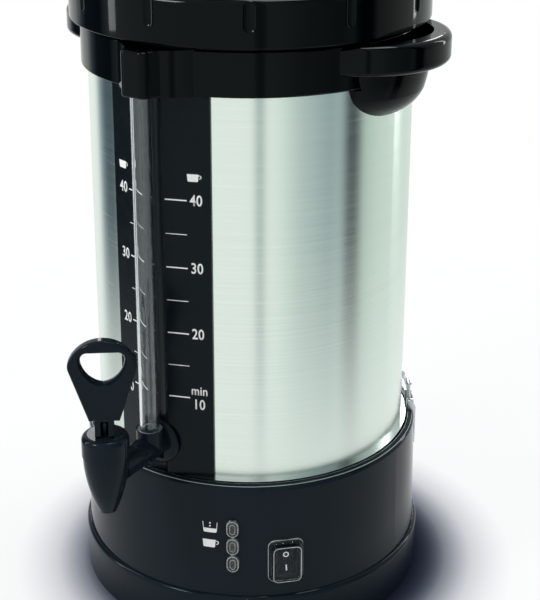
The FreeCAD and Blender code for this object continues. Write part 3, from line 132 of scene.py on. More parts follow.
turn = add(sky, "ShaderNodeMath", {0: way.outputs["X"], 1: behind.outputs[0]}, operation="ARCTAN2")
share = add(sky, "ShaderNodeMapRange", {"Value": turn.outputs[0], "From Min": -math.pi,
                                        "From Max": math.pi})
room = add(sky, "ShaderNodeValToRGB", {"Fac": share.outputs[0]})
stops = room.color_ramp.elements
stops[0].position, stops[0].color = 0.0, linear(ROOM[0][1])
stops[1].position, stops[1].color = 1.0, linear(ROOM[-1][1])
for place, shade in ROOM[1:-1]:
    stops.new((place + 180) / 360).color = linear(shade)
screens = add(sky, "ShaderNodeBackground", {"Color": room.outputs["Color"], "Strength": 1.0})
gloss_path = add(sky, "ShaderNodeLightPath")
sky_full = add(sky, "ShaderNodeMixShader", {0: gloss_path.outputs["Is Glossy Ray"],
                                            1: sky_mix.outputs[0], 2: screens.outputs[0]})
add(sky, "ShaderNodeOutputWorld", {"Surface": sky_full.outputs[0]})

floor_size = 3.0
floor_corners = [(floor_size * x, floor_size * y, 0) for x, y in ((-1, -1), (1, -1), (1, 1), (-1, 1))]
floor_mesh = bpy.data.meshes.new("studio_floor")
floor_mesh.from_pydata(floor_corners, [], [(0, 1, 2, 3)])
floor = put("studio_floor", floor_mesh)
floor_paint = bpy.data.materials.new("white_floor_painted_shadow")
floor_paint.use_nodes = True
tree = floor_paint.node_tree
tree.nodes.clear()
# A shadow is painted on the floor: it darkens softly where it meets the foot, a little more on
# the side away from the front lamp. Further out the floor fades away softly. Lengths are from
# the urn's axis, in metres.
painted_shadow_middle = (0.0076, 0.0048, 0.0)
painted_shadow_start, painted_shadow_end = 0.104, 0.175
fade_start, fade_end = 0.28, 0.75
glow_share = 0.85
spot = add(tree, "ShaderNodeTexCoord").outputs["Object"]
shifted = add(tree, "ShaderNodeVectorMath", {0: spot, 1: painted_shadow_middle}, operation="SUBTRACT")
away = add(tree, "ShaderNodeVectorMath", {0: shifted.outputs[0]}, operation="LENGTH")
close = add(tree, "ShaderNodeMapRange", {"Value": away.outputs["Value"],
                                         "From Min": painted_shadow_start, "From Max": painted_shadow_end})
# The painted shadow: dark by the foot, white further out.
shade = add(tree, "ShaderNodeValToRGB", {"Fac": close.outputs[0]})
shade.color_ramp.interpolation = "B_SPLINE"
stops = shade.color_ramp.elements
stops[0].position, stops[0].color = 0.0, linear("12141E")
stops[1].position, stops[1].color = 1.0, linear("FFFFFF")
stops.new(0.18).color = linear("262A3A")
stops.new(0.34).color = linear("666D7A")
stops.new(0.6).color = linear("D6D8DD")
matt = add(tree, "ShaderNodeBsdfDiffuse", {"Color": shade.outputs[0]})
glow = add(tree, "ShaderNodeEmission", {"Color": shade.outputs[0], "Strength": 1.0})
share = add(tree, "ShaderNodeMath", {0: seen(tree), 1: glow_share}, operation="MULTIPLY")
floor_mix = add(tree, "ShaderNodeMixShader", {0: share.outputs[0], 1: matt.outputs[0],
                                              2: glow.outputs[0]})
edge = add(tree, "ShaderNodeMapRange", {"Value": away.outputs["Value"],
                                        "From Min": fade_start, "From Max": fade_end})
floor_full = add(tree, "ShaderNodeMixShader",
                 {0: edge.outputs[0], 1: floor_mix.outputs[0],
                  2: add(tree, "ShaderNodeBsdfTransparent").outputs[0]})
add(tree, "ShaderNodeOutputMaterial", {"Surface": floor_full.outputs[0]})
floor_mesh.materials.append(floor_paint)

# Rows: name, place, width and height in metres, watts.
LAMPS = (
    ("soft_box_front", (-0.5, -1.2, 1.35), 0.35, 0.35, 11.0),
    ("soft_box_left", (-1.0, -0.62, 0.6), 0.14, 1.0, 3.0),
    ("soft_box_right", (0.62, 1.08, 0.6), 0.14, 1.0, 3.0),
    ("soft_box_top", (0.15, 0.25, 1.7), 0.6, 0.6, 11.0),
    ("soft_box_back", (-0.75, 1.25, 0.95), 0.9, 0.3, 6.0),
)
aim = Vector((0, 0, 0.22))
for name, spot, width, tall, watts in LAMPS:
    lamp = bpy.data.lights.new(name, "AREA")
    lamp.shape = "RECTANGLE"
    lamp.size = width
    lamp.size_y = tall
    lamp.energy = watts
    stand = put(name, lamp)
    stand.location = spot
    stand.visible_camera = False
    stand.rotation_mode = "QUATERNION"
    stand.rotation_quaternion = (aim - Vector(spot)).to_track_quat("-Z", "Y")

# Base: foot ring and housing
# Injection-moulded ABS with a polished tool finish: near black with a green cast, sharp
# reflections softened by faint moulding ripple and rub marks.


def new_finish(name, colour, **sockets):
    """A material with one main shader; the sockets are its constants."""
    material = bpy.data.materials.new(name)
    material.use_nodes = True
    tree = material.node_tree
    tree.nodes.clear()
    shader = add(tree, "ShaderNodeBsdfPrincipled", {"Base Color": linear(colour)})
    for socket, value in sockets.items():
        shader.inputs[socket.replace("_", " ")].default_value = value
    add(tree, "ShaderNodeOutputMaterial", {"Surface": shader.outputs[0]})
    return material, tree, shader


def grain(tree, shader, scale, spread, low, high, depth, detail=3.0):
    """Vary roughness between two values and raise a fine relief from one noise pattern.
    Scale is in waves to the metre, spread stretches the pattern, depth is in metres."""
    spot = add(tree, "ShaderNodeTexCoord").outputs["Object"]
    laid = add(tree, "ShaderNodeMapping", {"Vector": spot, "Scale": spread})
    noise = add(tree, "ShaderNodeTexNoise", {"Vector": laid.outputs[0], "Scale": scale,
                                             "Detail": detail, "Roughness": 0.55})
    rough = add(tree, "ShaderNodeMapRange", {"Value": noise.outputs["Fac"], "From Min": 0.3,
                                             "From Max": 0.7, "To Min": low, "To Max": high})
    tree.links.new(rough.outputs[0], shader.inputs["Roughness"])
    relief = add(tree, "ShaderNodeBump", {"Height": noise.outputs["Fac"], "Strength": 0.4,
                                          "Distance": depth})
    tree.links.new(relief.outputs[0], shader.inputs["Normal"])
    return noise


def dress(material, *names):
    """Give CAD nodes their finish."""
    for name in names:
        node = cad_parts[name]
        node.data.materials.clear()
        node.data.materials.append(material)


gloss_black, tree, shader = new_finish("polished_black_abs", "131B22", IOR=1.5)
shader.inputs["Specular IOR Level"].default_value = 0.1
shader.inputs["Specular Tint"].default_value = linear("E6F6F4")
grain(tree, shader, 90, (1, 1, 1), 0.05, 0.11, 0.00003)
dress(gloss_black, "foot_ring", "base_housing")

# A highlight is painted along the rim's two edges: fine pale hoops half sunk in the edge, left
# out where the rim is notched for a latch. Rows: name, radius, height, thickness, millimetres.
painted_rim_highlight, tree, shader = new_finish("painted_rim_highlight_finish", "93A3A3", IOR=1.5)
grain(tree, shader, 55, (1, 1, 1), 0.12, 0.4, 0.00003)
RIM_EDGES = (("rim_edge_outer", 110.1, 111.6, 0.24), ("rim_edge_inner", 107.37, 112.15, 0.26))
hoop_rounds = 180
hoop_sides = 6
on_rim = 0.0003


def facets(mesh):
    """A mesh to cast rays at and to find the nearest point on."""
    return BVHTree.FromPolygons([tuple(v.co) for v in mesh.vertices],
                                [tuple(p.vertices) for p in mesh.polygons])


def round_point(radius, height, turn):
    """A point round the urn, from millimetres and radians."""
    return (radius / 1000 * math.sin(turn), -radius / 1000 * math.cos(turn), height / 1000)


housing = facets(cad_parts["base_housing"].data)
turns = [2 * math.pi * step / hoop_rounds for step in range(hoop_rounds)]
leans = [2 * math.pi * side / hoop_sides for side in range(hoop_sides)]
for name, radius, height, thick in RIM_EDGES:
    shape = bmesh.new()
    rings = [[shape.verts.new(round_point(radius + thick * math.cos(lean),
                                          height + thick * math.sin(lean), turn))
              for lean in leans] for turn in turns]
    held = [housing.find_nearest(round_point(radius, height, turn))[3] <= on_rim for turn in turns]
    for step in range(hoop_rounds):
        after = (step + 1) % hoop_rounds
        if not (held[step] and held[after]):
            continue
        for side in range(hoop_sides):
            beside = (side + 1) % hoop_sides
            shape.faces.new((rings[step][side], rings[after][side],
                             rings[after][beside], rings[step][beside]))
    loose = [corner for corner in shape.verts if not corner.link_faces]
    bmesh.ops.delete(shape, geom=loose, context="VERTS")
    bmesh.ops.holes_fill(shape, edges=[line for line in shape.edges if line.is_boundary], sides=0)
    bmesh.ops.recalc_face_normals(shape, faces=shape.faces)
    made = bpy.data.meshes.new(name)
    shape.to_mesh(made)
    shape.free()
    made.materials.append(painted_rim_highlight)
    made.shade_smooth()
    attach(put(name, made), "urn")

# Bottom plate, feet and screws
# The plate is moulded in the same plastic with a spark-eroded face, the feet are soft black
# rubber pegs pushed up through the ring, and the screws are zinc-plated steel.
satin_black, tree, shader = new_finish("textured_black_abs", "0F1416", IOR=1.5)
shader.inputs["Specular IOR Level"].default_value = 0.2
grain(tree, shader, 900, (1, 1, 1), 0.38, 0.55, 0.00003, 2.0)
rubber, tree, shader = new_finish("black_silicone_rubber", "17181A", IOR=1.42)
grain(tree, shader, 400, (1, 1, 1), 0.55, 0.72, 0.00005, 2.0)
zinc_plate, tree, shader = new_finish("zinc_plated_steel", "C9CDD0", Metallic=1.0)
noise = grain(tree, shader, 240, (1, 1, 1), 0.22, 0.42, 0.00003)
tint = add(tree, "ShaderNodeMix", {"Factor": noise.outputs["Fac"], 6: linear("B4B8BC"),
                                   7: linear("DFE2E4")}, data_type="RGBA")
tree.links.new(tint.outputs[2], shader.inputs["Base Color"])
dress(satin_black, "bottom_plate")
dress(rubber, "rubber_feet")
dress(zinc_plate, "base_screws")

# Power inlet
# A socket moulded in heat-proof black plastic, with plated brass blades and two small screws.
plated_brass, tree, shader = new_finish("nickel_plated_brass", "CDC7B4", Metallic=1.0)
grain(tree, shader, 500, (1, 1, 6), 0.2, 0.34, 0.00002)
dress(satin_black, "power_inlet")
dress(plated_brass, "inlet_blades")
dress(zinc_plate, "inlet_screws")

# Switch
# A black rocker in a black bezel, marked with a ring and a bar in white, under a clear splash
# cover. Its wall is under a millimetre thick, so its IOR is set well under the solid's 1.585.
clear_plastic, tree, shader = new_finish("clear_polycarbonate", "F3F6F6", IOR=1.16)
shader.inputs["Transmission Weight"].default_value = 1.0
grain(tree, shader, 60, (1, 1, 1), 0.0, 0.03, 0.00001)
dress(satin_black, "switch_body")
dress(gloss_black, "switch_rocker")

white_ink, tree, shader = new_finish("white_screen_ink", "F2F3F1", IOR=1.45)
grain(tree, shader, 1500, (1, 1, 1), 0.42, 0.58, 0.00001, 1.0)
ink_lift = 0.00004
ink_thick = 0.00003
far_out = 0.3
most_strips = 10


def made_real(item):
    """The mesh of an object, as its curve, nodes or modifiers leave it."""
    graph = bpy.context.evaluated_depsgraph_get()
    return bpy.data.meshes.new_from_object(item.evaluated_get(graph))


def outline_mesh(name, text="", size=0.007, wide=1.0, bold=0.0, loops=()):
    """A flat mesh in X and Y from words, or from closed loops of points."""
    if text:
        curve = bpy.data.curves.new(name, "FONT")
        curve.body = text
        curve.size = size
        curve.align_x = "CENTER"
        curve.align_y = "CENTER"
        curve.resolution_u = 4
        curve.offset = bold
        curve.space_character = 1.0 + bold * 300
    else:
        curve = bpy.data.curves.new(name, "CURVE")
        curve.dimensions = "2D"
        curve.fill_mode = "BOTH"
        for loop in loops:
            line = curve.splines.new("POLY")
            line.points.add(len(loop) - 1)
            for point, (x, y) in zip(line.points, loop):
                point.co = (x, y, 0, 1)
            line.use_cyclic_u = True
    holder = put(name, curve)
    mesh = made_real(holder)
    bpy.data.objects.remove(holder)
    mesh.transform(Matrix.Diagonal((wide, 1, 1, 1)))
    return mesh


def out_of(turn):
    """The level direction out of the urn at a turn in degrees."""
    angle = math.radians(turn)
    return Vector((math.sin(angle), -math.cos(angle), 0))


def along(outwards):
    """The level direction at right angles to one out of the urn."""
    return Vector((-outwards.y, outwards.x, 0))


def printed(name, body, onto, turn, marks, strip=0.0):
    """White print on a surface. Each mark is (mesh, across, height), seen from outside at a
    turn round the urn; every corner is dropped onto the surface along that direction. On a
    round surface the marks are first cut into upright strips."""
    surface = facets(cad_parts[onto].data)
    outwards = out_of(turn)
    shape = bmesh.new()
    for mesh, across, height in marks:
        if strip:
            mark = bmesh.new()
            mark.from_mesh(mesh)
            for step in range(-most_strips, most_strips + 1):
                bmesh.ops.bisect_plane(mark, geom=mark.verts[:] + mark.edges[:] + mark.faces[:],
                                       plane_co=(step * strip, 0, 0), plane_no=(1, 0, 0))
            mark.to_mesh(mesh)
            mark.free()
        first = len(shape.verts)
        shape.from_mesh(mesh)
        shape.verts.ensure_lookup_table()
        for corner in shape.verts[first:]:
            start = outwards * far_out + along(outwards) * (across + corner.co.x)
            start.z = height + corner.co.y
            spot = surface.ray_cast(start, -outwards)[0]
            corner.co = spot + outwards * ink_lift
    bmesh.ops.remove_doubles(shape, verts=shape.verts, dist=1e-6)
    shape.normal_update()
    for face in shape.faces:
        if face.normal.dot(outwards) < 0:
            face.normal_flip()
    made = bpy.data.meshes.new(name)
    shape.to_mesh(made)
    shape.free()
    made.materials.append(white_ink)
    item = put(name, made)
    layer = item.modifiers.new("ink", "SOLIDIFY")
    layer.thickness = ink_thick
    layer.offset = 1
    item.data = made_real(item)
    item.modifiers.clear()
    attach(item, body)


def arc(radius, start, end, steps, x=0.0, y=0.0):
    """Points along an arc, in degrees."""
    turns = [math.radians(start + (end - start) * step / steps) for step in range(steps + 1)]
    return [(x + radius * math.cos(turn), y + radius * math.sin(turn)) for turn in turns]


switch_turn = 43.3
switch_height = 0.0595
mark_rise = 0.0044
off_ring = outline_mesh("off_ring", loops=(arc(0.00185, 0, 345, 23), arc(0.00115, 0, 345, 23)))
on_bar = outline_mesh("on_bar", loops=([(-0.00045, -0.0018), (0.00045, -0.0018),
                                        (0.00045, 0.0018), (-0.00045, 0.0018)],))
printed("switch_marks", "switch_rocker", "switch_rocker", switch_turn,
        [(off_ring, 0, switch_height + mark_rise), (on_bar, 0, switch_height - mark_rise)])


def bead(name, source, turn, height, loop, thick):
    """A fine round bead of pale, partly clear plastic along a closed line laid on a mesh and seen
    from outside at a turn round the urn: a painted highlight where an edge catches the light."""
    surface = facets(source)
    outwards = out_of(turn)
    curve = bpy.data.curves.new(name, "CURVE")
    curve.dimensions = "3D"
    curve.bevel_depth = thick
    curve.bevel_resolution = 2
    line = curve.splines.new("POLY")
    line.points.add(len(loop) - 1)
    for point, (x, y) in zip(line.points, loop):
        start = outwards * far_out + along(outwards) * x
        start.z = height + y
        point.co = (*surface.ray_cast(start, -outwards)[0], 1)
    line.use_cyclic_u = True
    holder = put(name, curve)
    mesh = made_real(holder)
    bpy.data.objects.remove(holder)
    mesh.materials.clear()
    mesh.materials.append(painted_edge_highlight)
    mesh.shade_smooth()
    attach(put(name, mesh), "urn")


def rounded_frame(half_wide, half_tall, corner):
    """The outline of a rounded rectangle."""
    points = []
    for turn, side, up in ((0, 1, 1), (90, -1, 1), (180, -1, -1), (270, 1, -1)):
        points += arc(corner, turn, turn + 90, 8, side * (half_wide - corner), up * (half_tall - corner))
    return points


# The beads' pale, partly clear finish paints highlights along edges.
painted_edge_highlight, tree, shader = new_finish("painted_edge_highlight_plastic", "D3DEDD", IOR=1.49)
shader.inputs["Transmission Weight"].default_value = 0.3
grain(tree, shader, 900, (1, 1, 1), 0.2, 0.4, 0.00003, 2.0)


def lofted(name, rings, material):
    """A smooth object through closed rings of points; the first ring stays open and the last
    is capped."""
    count = len(rings[0])
    points = [point for ring in rings for point in ring]
    faces = []
    for base in range(0, len(points) - count, count):
        for step in range(count):
            after = (step + 1) % count
            faces.append((base + step, base + after, base + count + after, base + count + step))
    faces.append(tuple(range(len(points) - count, len(points))))
    made = bpy.data.meshes.new(name)
    made.from_pydata(points, [], faces)
    made.materials.append(material)
    made.shade_smooth()
    made.set_sharp_from_angle(angle=math.radians(32))
    return put(name, made)


# The cover is drawn from sheet: a narrow flange on the wall, soft sloping sides and a flat
# face. Rows: half width, half height, corner and rise in millimetres, and how far the ring is
# flat (1) and not bent with the wall (0).
COVER_RINGS = ((11.1, 14.5, 4.3, 0.85, 0.0), (10.2, 13.6, 3.9, 0.85, 0.1),
               (9.9, 13.3, 3.8, 1.1, 0.2), (9.65, 13.0, 3.7, 2.0, 0.5),
               (9.2, 12.55, 3.5, 4.6, 1.0), (9.0, 12.35, 3.4, 5.3, 1.0),
               (8.6, 11.95, 3.1, 5.75, 1.0), (8.1, 11.45, 2.8, 5.85, 1.0))
wall_reach = 0.11236
switch_out = out_of(switch_turn)
cover_rings = []
for half_wide, half_tall, corner, rise, flat in COVER_RINGS:
    ring = []
    for x, y in rounded_frame(half_wide / 1000, half_tall / 1000, corner / 1000):
        bent = math.sqrt(wall_reach ** 2 - x ** 2)
        reach = bent + (wall_reach - bent) * flat + rise / 1000
        ring.append(switch_out * reach + along(switch_out) * x + Vector((0, 0, switch_height + y)))
    cover_rings.append(ring)
splash_cover = lofted("splash_cover", cover_rings, clear_plastic)
sheet = splash_cover.modifiers.new("sheet", "SOLIDIFY")
sheet.thickness = 0.0007
sheet.offset = -1
splash_cover.data = made_real(splash_cover)
splash_cover.modifiers.clear()
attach(splash_cover, "urn")
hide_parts("switch_cover")
# Pale beads round the cover's face and flange are painted highlights on its edges.
bead("cover_edge_front", splash_cover.data, switch_turn, switch_height,
     rounded_frame(0.0088, 0.01215, 0.0032), 0.00022)
bead("cover_edge_back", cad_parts["base_housing"].data, switch_turn, switch_height,
     rounded_frame(0.0111, 0.0145, 0.0043), 0.00022)

# Lamps
# Three clear oval lenses with a prismed inner face, snapped into the wall over a small
# board, and white printed signs for the water level and for ready beside the upper two.
lens_plastic, tree, shader = new_finish("clear_prismed_acrylic", "EEF3F1", IOR=1.4)
shader.inputs["Transmission Weight"].default_value = 1.0
shader.inputs["Roughness"].default_value = 0.05
spot = add(tree, "ShaderNodeTexCoord").outputs["Object"]
prisms = add(tree, "ShaderNodeTexVoronoi", {"Vector": spot, "Scale": 520.0}, feature="F1")
relief = add(tree, "ShaderNodeBump", {"Height": prisms.outputs["Distance"], "Strength": 0.8,
                                      "Distance": 0.0004})
tree.links.new(relief.outputs[0], shader.inputs["Normal"])
board_green, tree, shader = new_finish("green_lacquered_board", "2B3B33", IOR=1.5)
grain(tree, shader, 700, (1, 1, 1), 0.3, 0.45, 0.00003)
dress(lens_plastic, "water_lamp_lens", "ready_lamp_lens", "warning_lamp_lens")
dress(board_green, "lamp_board")
lamp_turn = 26.3
# Pale beads round each lens's rim and round an inner oval are painted highlights.
# Rows: label, end radius, half the straight run, and the bead's thickness.
LENS_BEADS = (("rim", 0.00345, 0.00185, 0.00022), ("core", 0.0016, 0.0017, 0.00012))
for name, height in (("water", 0.0836), ("ready", 0.0711), ("warning", 0.0586)):
    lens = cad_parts[name + "_lamp_lens"].data
    for label, radius, run, thick in LENS_BEADS:
        oval = arc(radius, 0, 180, 12, 0, run) + arc(radius, 180, 360, 12, 0, -run)
        bead(name + "_lens_" + label, lens, lamp_turn, height, oval, thick)

# The outlines of the two signs, in metres: a cup with its handle, and a tray with two drops.
sign_turn = 18.9
cup_body = ([(-0.0054, 0.0027), (-0.0050, -0.0018)] + arc(0.0008, 190, 270, 6, -0.0042, -0.0019)
            + arc(0.0008, 270, 350, 6, 0.0018, -0.0019) + [(0.0026, -0.0018), (0.0030, 0.0027)])
cup_handle = arc(0.0014, -100, 115, 14, 0.0036, 0.0008) + arc(0.0008, 115, -100, 14, 0.0036, 0.0008)
tray_wall = ([(-0.0048, 0.0036), (-0.0044, 0.0036), (-0.0041, -0.0008), (0.0041, -0.0008),
              (0.0044, 0.0036), (0.0048, 0.0036)] + arc(0.0011, 0, -90, 6, 0.0032, -0.0026)
             + arc(0.0011, -90, -180, 6, -0.0032, -0.0026))
tray_drops = [arc(0.00055, 0, 345, 15, 0.0, height) for height in (0.0029, 0.0009)]
cup_sign = outline_mesh("cup_sign", loops=(cup_body, cup_handle))
tray_sign = outline_mesh("tray_sign", loops=(tray_wall, *tray_drops))
printed("lamp_signs", "urn", "base_housing", sign_turn,
        [(tray_sign, 0, 0.0827), (cup_sign, 0.0006, 0.0712)], strip=0.0006)

# Heater
# An aluminium plate cast round a tubular element and clamped to the tank's floor, with a
# bimetal thermostat in a steel can at its middle.
cast_aluminium, tree, shader = new_finish("cast_aluminium", "B9BCBE", Metallic=1.0)
grain(tree, shader, 350, (1, 1, 1), 0.42, 0.6, 0.0002)
sheath, tree, shader = new_finish("oxidised_steel_sheath", "8E8A84", Metallic=1.0)
grain(tree, shader, 260, (1, 1, 1), 0.4, 0.58, 0.00006)
dress(cast_aluminium, "heater_plate")
dress(sheath, "heating_element")
dress(zinc_plate, "thermostat")

# Tank and jacket
# Both are rolled from stainless sheet. The jacket is belt-brushed round the axis, so that
# lights draw out into tall soft bands, and the tank has a plain rolled finish.
brushed_steel, tree, shader = new_finish("brushed_stainless_steel", "DDE9E0", Metallic=1.0,
                                         Anisotropic=0.85)
upright = add(tree, "ShaderNodeCombineXYZ", {"X": 0.0, "Y": 0.0, "Z": 1.0})
tree.links.new(upright.outputs[0], shader.inputs["Tangent"])
spot = add(tree, "ShaderNodeTexCoord").outputs["Object"]
# Brush lines are about 0.2 mm apart; they are drawn at 0.7 mm so that they show.
laid = add(tree, "ShaderNodeMapping", {"Vector": spot, "Scale": (7, 7, 1400)})
lines = add(tree, "ShaderNodeTexNoise", {"Vector": laid.outputs[0], "Scale": 1.0,
                                         "Detail": 4.0, "Roughness": 0.6})
rough = add(tree, "ShaderNodeMapRange", {"Value": lines.outputs["Fac"], "From Min": 0.25,
                                         "From Max": 0.75, "To Min": 0.2, "To Max": 0.28})
tree.links.new(rough.outputs[0], shader.inputs["Roughness"])
tone = add(tree, "ShaderNodeMix", {"Factor": lines.outputs["Fac"], 6: linear("D6E2D9"),
                                   7: linear("E6F2E9")}, data_type="RGBA")
tree.links.new(tone.outputs[2], shader.inputs["Base Color"])
relief = add(tree, "ShaderNodeBump", {"Height": lines.outputs["Fac"], "Strength": 0.25,
                                      "Distance": 0.00002})
tree.links.new(relief.outputs[0], shader.inputs["Normal"])
dress(brushed_steel, "jacket")
bright_steel, tree, shader = new_finish("rolled_stainless_steel", "CDD0D2", Metallic=1.0)
grain(tree, shader, 40, (1, 1, 8), 0.16, 0.26, 0.00003)
dress(bright_steel, "jacket_ring", "inner_tank")
dress(rubber, "rim_gasket")

# Scale panel
# A black moulded strip with two flat flanks that meet in a channel. The cup scale is
# screen-printed in white on both flanks.
panel_black, tree, shader = new_finish("satin_black_abs", "091115", IOR=1.5)
shader.inputs["Specular IOR Level"].default_value = 0.12
shader.inputs["Specular Tint"].default_value = linear("E6F6F4")
grain(tree, shader, 120, (1, 1, 1), 0.16, 0.26, 0.00004)
dress(panel_black, "scale_panel")

flank_tilt = 18.9
flank_reach = 0.104
ten_height = 0.1667
ten_pitch = 0.0424
tick_near = 0.0083
tick_far = 0.0208
digits_off = 0.0262
least_off, least_rise = 0.0265, 0.0048
cup_off, cup_height, cup_share = 0.0255, 0.308, 0.84
ten_drop = 0.0045


def tick_tree():
    """Geometry Nodes: a column of equal bars, one above the other."""
    tree = bpy.data.node_groups.new("scale_ticks", "GeometryNodeTree")
    sockets = {}
    for name, kind in (("Count", "NodeSocketInt"), ("Pitch", "NodeSocketFloat"),
                       ("Length", "NodeSocketFloat"), ("Width", "NodeSocketFloat")):
        sockets[name] = tree.interface.new_socket(name, in_out="INPUT", socket_type=kind).identifier
    tree.interface.new_socket("Geometry", in_out="OUTPUT", socket_type="NodeSocketGeometry")
    given = add(tree, "NodeGroupInput")
    step = add(tree, "ShaderNodeCombineXYZ", {"Y": given.outputs["Pitch"]})
    column = add(tree, "GeometryNodeMeshLine", {"Count": given.outputs["Count"],
                                                "Offset": step.outputs[0]})
    bar = add(tree, "GeometryNodeMeshGrid", {"Size X": given.outputs["Length"],
                                             "Size Y": given.outputs["Width"],
                                             "Vertices X": 2, "Vertices Y": 2})
    spread = add(tree, "GeometryNodeInstanceOnPoints", {"Points": column.outputs[0],
                                                        "Instance": bar.outputs[0]})
    real = add(tree, "GeometryNodeRealizeInstances", {0: spread.outputs[0]})
    inked = add(tree, "GeometryNodeSetMaterial", {"Geometry": real.outputs[0],
                                                  "Material": white_ink})
    add(tree, "NodeGroupOutput", {0: inked.outputs[0]})
    return tree, sockets


ticks, tick_sockets = tick_tree()


def tick_column(name, count, length, width):
    """A flat mesh of ticks, the first at the origin."""
    holder = put(name, bpy.data.meshes.new(name))
    maker = holder.modifiers.new("ticks", "NODES")
    maker.node_group = ticks
    for socket, value in (("Count", count), ("Pitch", ten_pitch), ("Length", length),
                          ("Width", width)):
        maker[tick_sockets[socket]] = value
    mesh = made_real(holder)
    bpy.data.objects.remove(holder)
    return mesh


def along_flank(off):
    """How far a point lies along the flank, from how far it is off the panel's middle."""
    tilt = math.radians(flank_tilt)
    return (off - flank_reach * math.sin(tilt)) / math.cos(tilt)


tick_middle = (tick_near + tick_far) / 2
tick_length = (tick_far - tick_near) / math.cos(math.radians(flank_tilt))
main_ticks = tick_column("main_ticks", 4, tick_length, 0.0008)
half_ticks = tick_column("half_ticks", 3, tick_length, 0.00045)
for side, flank in ((1, "right"), (-1, "left")):
    marks = [(main_ticks, side * along_flank(tick_middle), ten_height),
             (half_ticks, side * along_flank(tick_middle), ten_height + ten_pitch / 2)]
    for step in range(4):
        drop = ten_drop if step == 0 else 0.0
        digits = outline_mesh("digits_%s_%d" % (flank, step), text=str(10 * (step + 1)),
                              size=0.0094, wide=0.8, bold=0.00017)
        marks.append((digits, side * along_flank(digits_off), ten_height + step * ten_pitch - drop))
    least = outline_mesh("least_" + flank, text="min", size=0.0082, wide=0.84, bold=0.00015)
    marks.append((least, side * along_flank(least_off), ten_height + least_rise))
    cup = outline_mesh("scale_cup_" + flank, loops=(cup_body, cup_handle))
    cup.transform(Matrix.Diagonal((cup_share, cup_share, 1, 1)))
    marks.append((cup, side * along_flank(cup_off), cup_height))
    printed("scale_print_" + flank, "urn", "scale_panel", side * flank_tilt, marks)

# Sight tube
# A clear glass pipe between a rubber seal at its foot and a rubber cap inside the collar.
clear_glass, tree, shader = new_finish("drawn_borosilicate_glass", "F5FAFA", IOR=1.47)
shader.inputs["Transmission Weight"].default_value = 1.0
grain(tree, shader, 30, (1, 1, 0.2), 0.0, 0.02, 0.00002)
dress(clear_glass, "sight_tube")
clear_silicone, tree, shader = new_finish("clear_silicone_rubber", "8598A0", IOR=1.41)
shader.inputs["Transmission Weight"].default_value = 0.3
grain(tree, shader, 300, (1, 1, 1), 0.25, 0.4, 0.00003)
dress(clear_silicone, "tube_seal_lower")
dress(rubber, "tube_cap_upper")

# Tap
# Arm, barrel and bonnet are moulded in the same polished plastic as the base. The stem and
# its pin are blackened steel, the spring is stainless, and the seat is a soft cup.
dark_steel, tree, shader = new_finish("blackened_steel", "26292C", Metallic=1.0)
grain(tree, shader, 260, (1, 1, 1), 0.3, 0.45, 0.00003)
dress(gloss_black, "tap_fitting", "tap_disc", "tap_barrel", "tap_bonnet")
dress(dark_steel, "tap_stem", "lever_pin")
dress(bright_steel, "tap_spring", "tank_nut")
dress(rubber, "seat_cup", "tank_washer")

# Key
# The same plastic. Its finger hole is rounded out like a wide bowl with a soft mouth on both
# faces, cut into a copy of the CAD key. Rows: depth from the middle and growth, millimetres.
key_turn = 36.0
key_reach = 0.1604
key_top = 0.223
hole_drop = 0.00805
hole_shoulder = 0.0044
hole_half = 0.0127
hole_tall = 0.0187
bowl_steps = 24
bowl_power = 1.12
HOLE_DEPTHS = ((-4.6, 2.2), (-3.8, 1.5), (-2.9, 0.75), (-1.6, 0.2), (0, 0.0), (1.6, 0.2),
               (2.9, 0.75), (3.8, 1.5), (4.6, 2.2))
hole_line = arc(hole_shoulder, 90, 0, 8, hole_half - hole_shoulder, -hole_shoulder)
bowl = hole_tall - hole_shoulder
for step in range(1, bowl_steps):
    x, y = math.cos(math.pi * step / bowl_steps), math.sin(math.pi * step / bowl_steps)
    hole_line.append((hole_half * math.copysign(abs(x) ** bowl_power, x),
                      -hole_shoulder - bowl * y ** bowl_power))
hole_line += arc(hole_shoulder, 180, 90, 8, hole_shoulder - hole_half, -hole_shoulder)
key_out = out_of(key_turn)
hole_rings = []
for depth, growth in HOLE_DEPTHS:
    ring = []
    for x, y in hole_line:
        wide = x * (1 + growth / 1000 / hole_half)
        tall = -hole_tall / 2 + (y + hole_tall / 2) * (1 + growth / 500 / hole_tall)
        spot = Vector((0, -key_reach, key_top - hole_drop + tall))
        ring.append(spot + key_out * (depth / 1000) + along(key_out) * wide)
    hole_rings.append(ring)
cutter = lofted("key_cutter", hole_rings, gloss_black)
shape = bmesh.new()
shape.from_mesh(cutter.data)
shape.verts.ensure_lookup_table()
shape.faces.new([shape.verts[place] for place in range(len(hole_line))])
bmesh.ops.recalc_face_normals(shape, faces=shape.faces)
shape.to_mesh(cutter.data)
shape.free()
key_mesh = bpy.data.meshes.new("tap_key")
shape = bmesh.new()
shape.from_mesh(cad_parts["key_lever"].data)
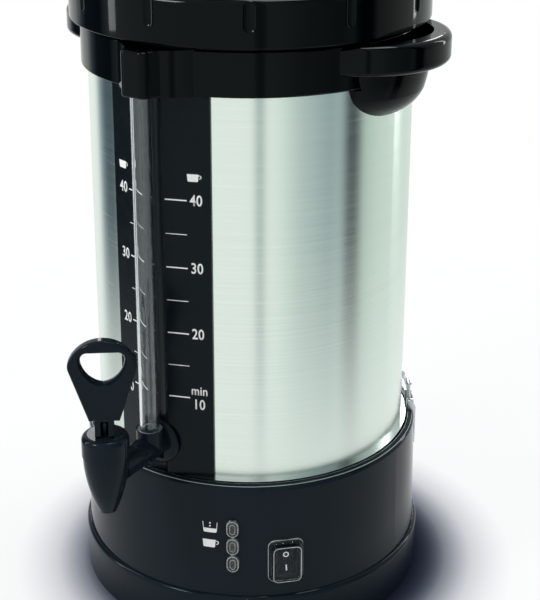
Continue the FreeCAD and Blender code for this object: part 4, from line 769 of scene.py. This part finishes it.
bmesh.ops.remove_doubles(shape, verts=shape.verts, dist=1e-7)
bmesh.ops.recalc_face_normals(shape, faces=shape.faces)
shape.to_mesh(key_mesh)
shape.free()
key_mesh.materials.clear()
key_mesh.materials.append(gloss_black)
tap_key = put("tap_key", key_mesh)
opening = tap_key.modifiers.new("opening", "BOOLEAN")
opening.operation = "DIFFERENCE"
opening.solver = "EXACT"
opening.object = cutter
tap_key.data = made_real(tap_key)
tap_key.modifiers.clear()
tap_key.data.shade_smooth()
tap_key.data.set_sharp_from_angle(angle=math.radians(30))
# The two flat faces, and the long flat ones that the cut leaves, are shaded flat.
flat_share = 0.998
for face in tap_key.data.polygons:
    if abs(face.normal.dot(key_out)) > flat_share or len(face.vertices) > 6:
        face.use_smooth = False
bpy.data.objects.remove(cutter)
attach(tap_key, "key_lever")
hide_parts("key_lever")

# Collar, handles and lid
# Heat-proof black polypropylene with a deeper polish than the base. The lid's skirt is
# fluted for grip and turns into lugs on the collar's neck, over a white silicone seal.
deep_black, tree, shader = new_finish("deep_black_polypropylene", "010304", IOR=1.5)
shader.inputs["Specular IOR Level"].default_value = 0.12
shader.inputs["Specular Tint"].default_value = linear("E6F6F4")
grain(tree, shader, 70, (1, 1, 1), 0.03, 0.07, 0.00002)
seal_silicone, tree, shader = new_finish("white_silicone", "D9DAD6", IOR=1.41)
grain(tree, shader, 300, (1, 1, 1), 0.4, 0.55, 0.00003)
dress(deep_black, "collar", "handle_right", "handle_left", "lid_shell", "lid_knob")
dress(seal_silicone, "lid_seal")
dress(zinc_plate, "knob_screw")

# Percolator
# A stainless riser on a funnel foot carries the pressed and pierced basket and its spreader.
dress(bright_steel, "riser_tube", "basket_stop", "filter_basket", "basket_lid")

# Latches
# Draw latches bent from zinc-plated sheet and wire, one on each side.
LATCH_PIECES = ("latch_base_", "latch_keeper_", "latch_lever_", "latch_loop_")
for side in ("right", "left"):
    dress(zinc_plate, *[piece + side for piece in LATCH_PIECES])
dress(zinc_plate, "latch_pins", "latch_rivets")
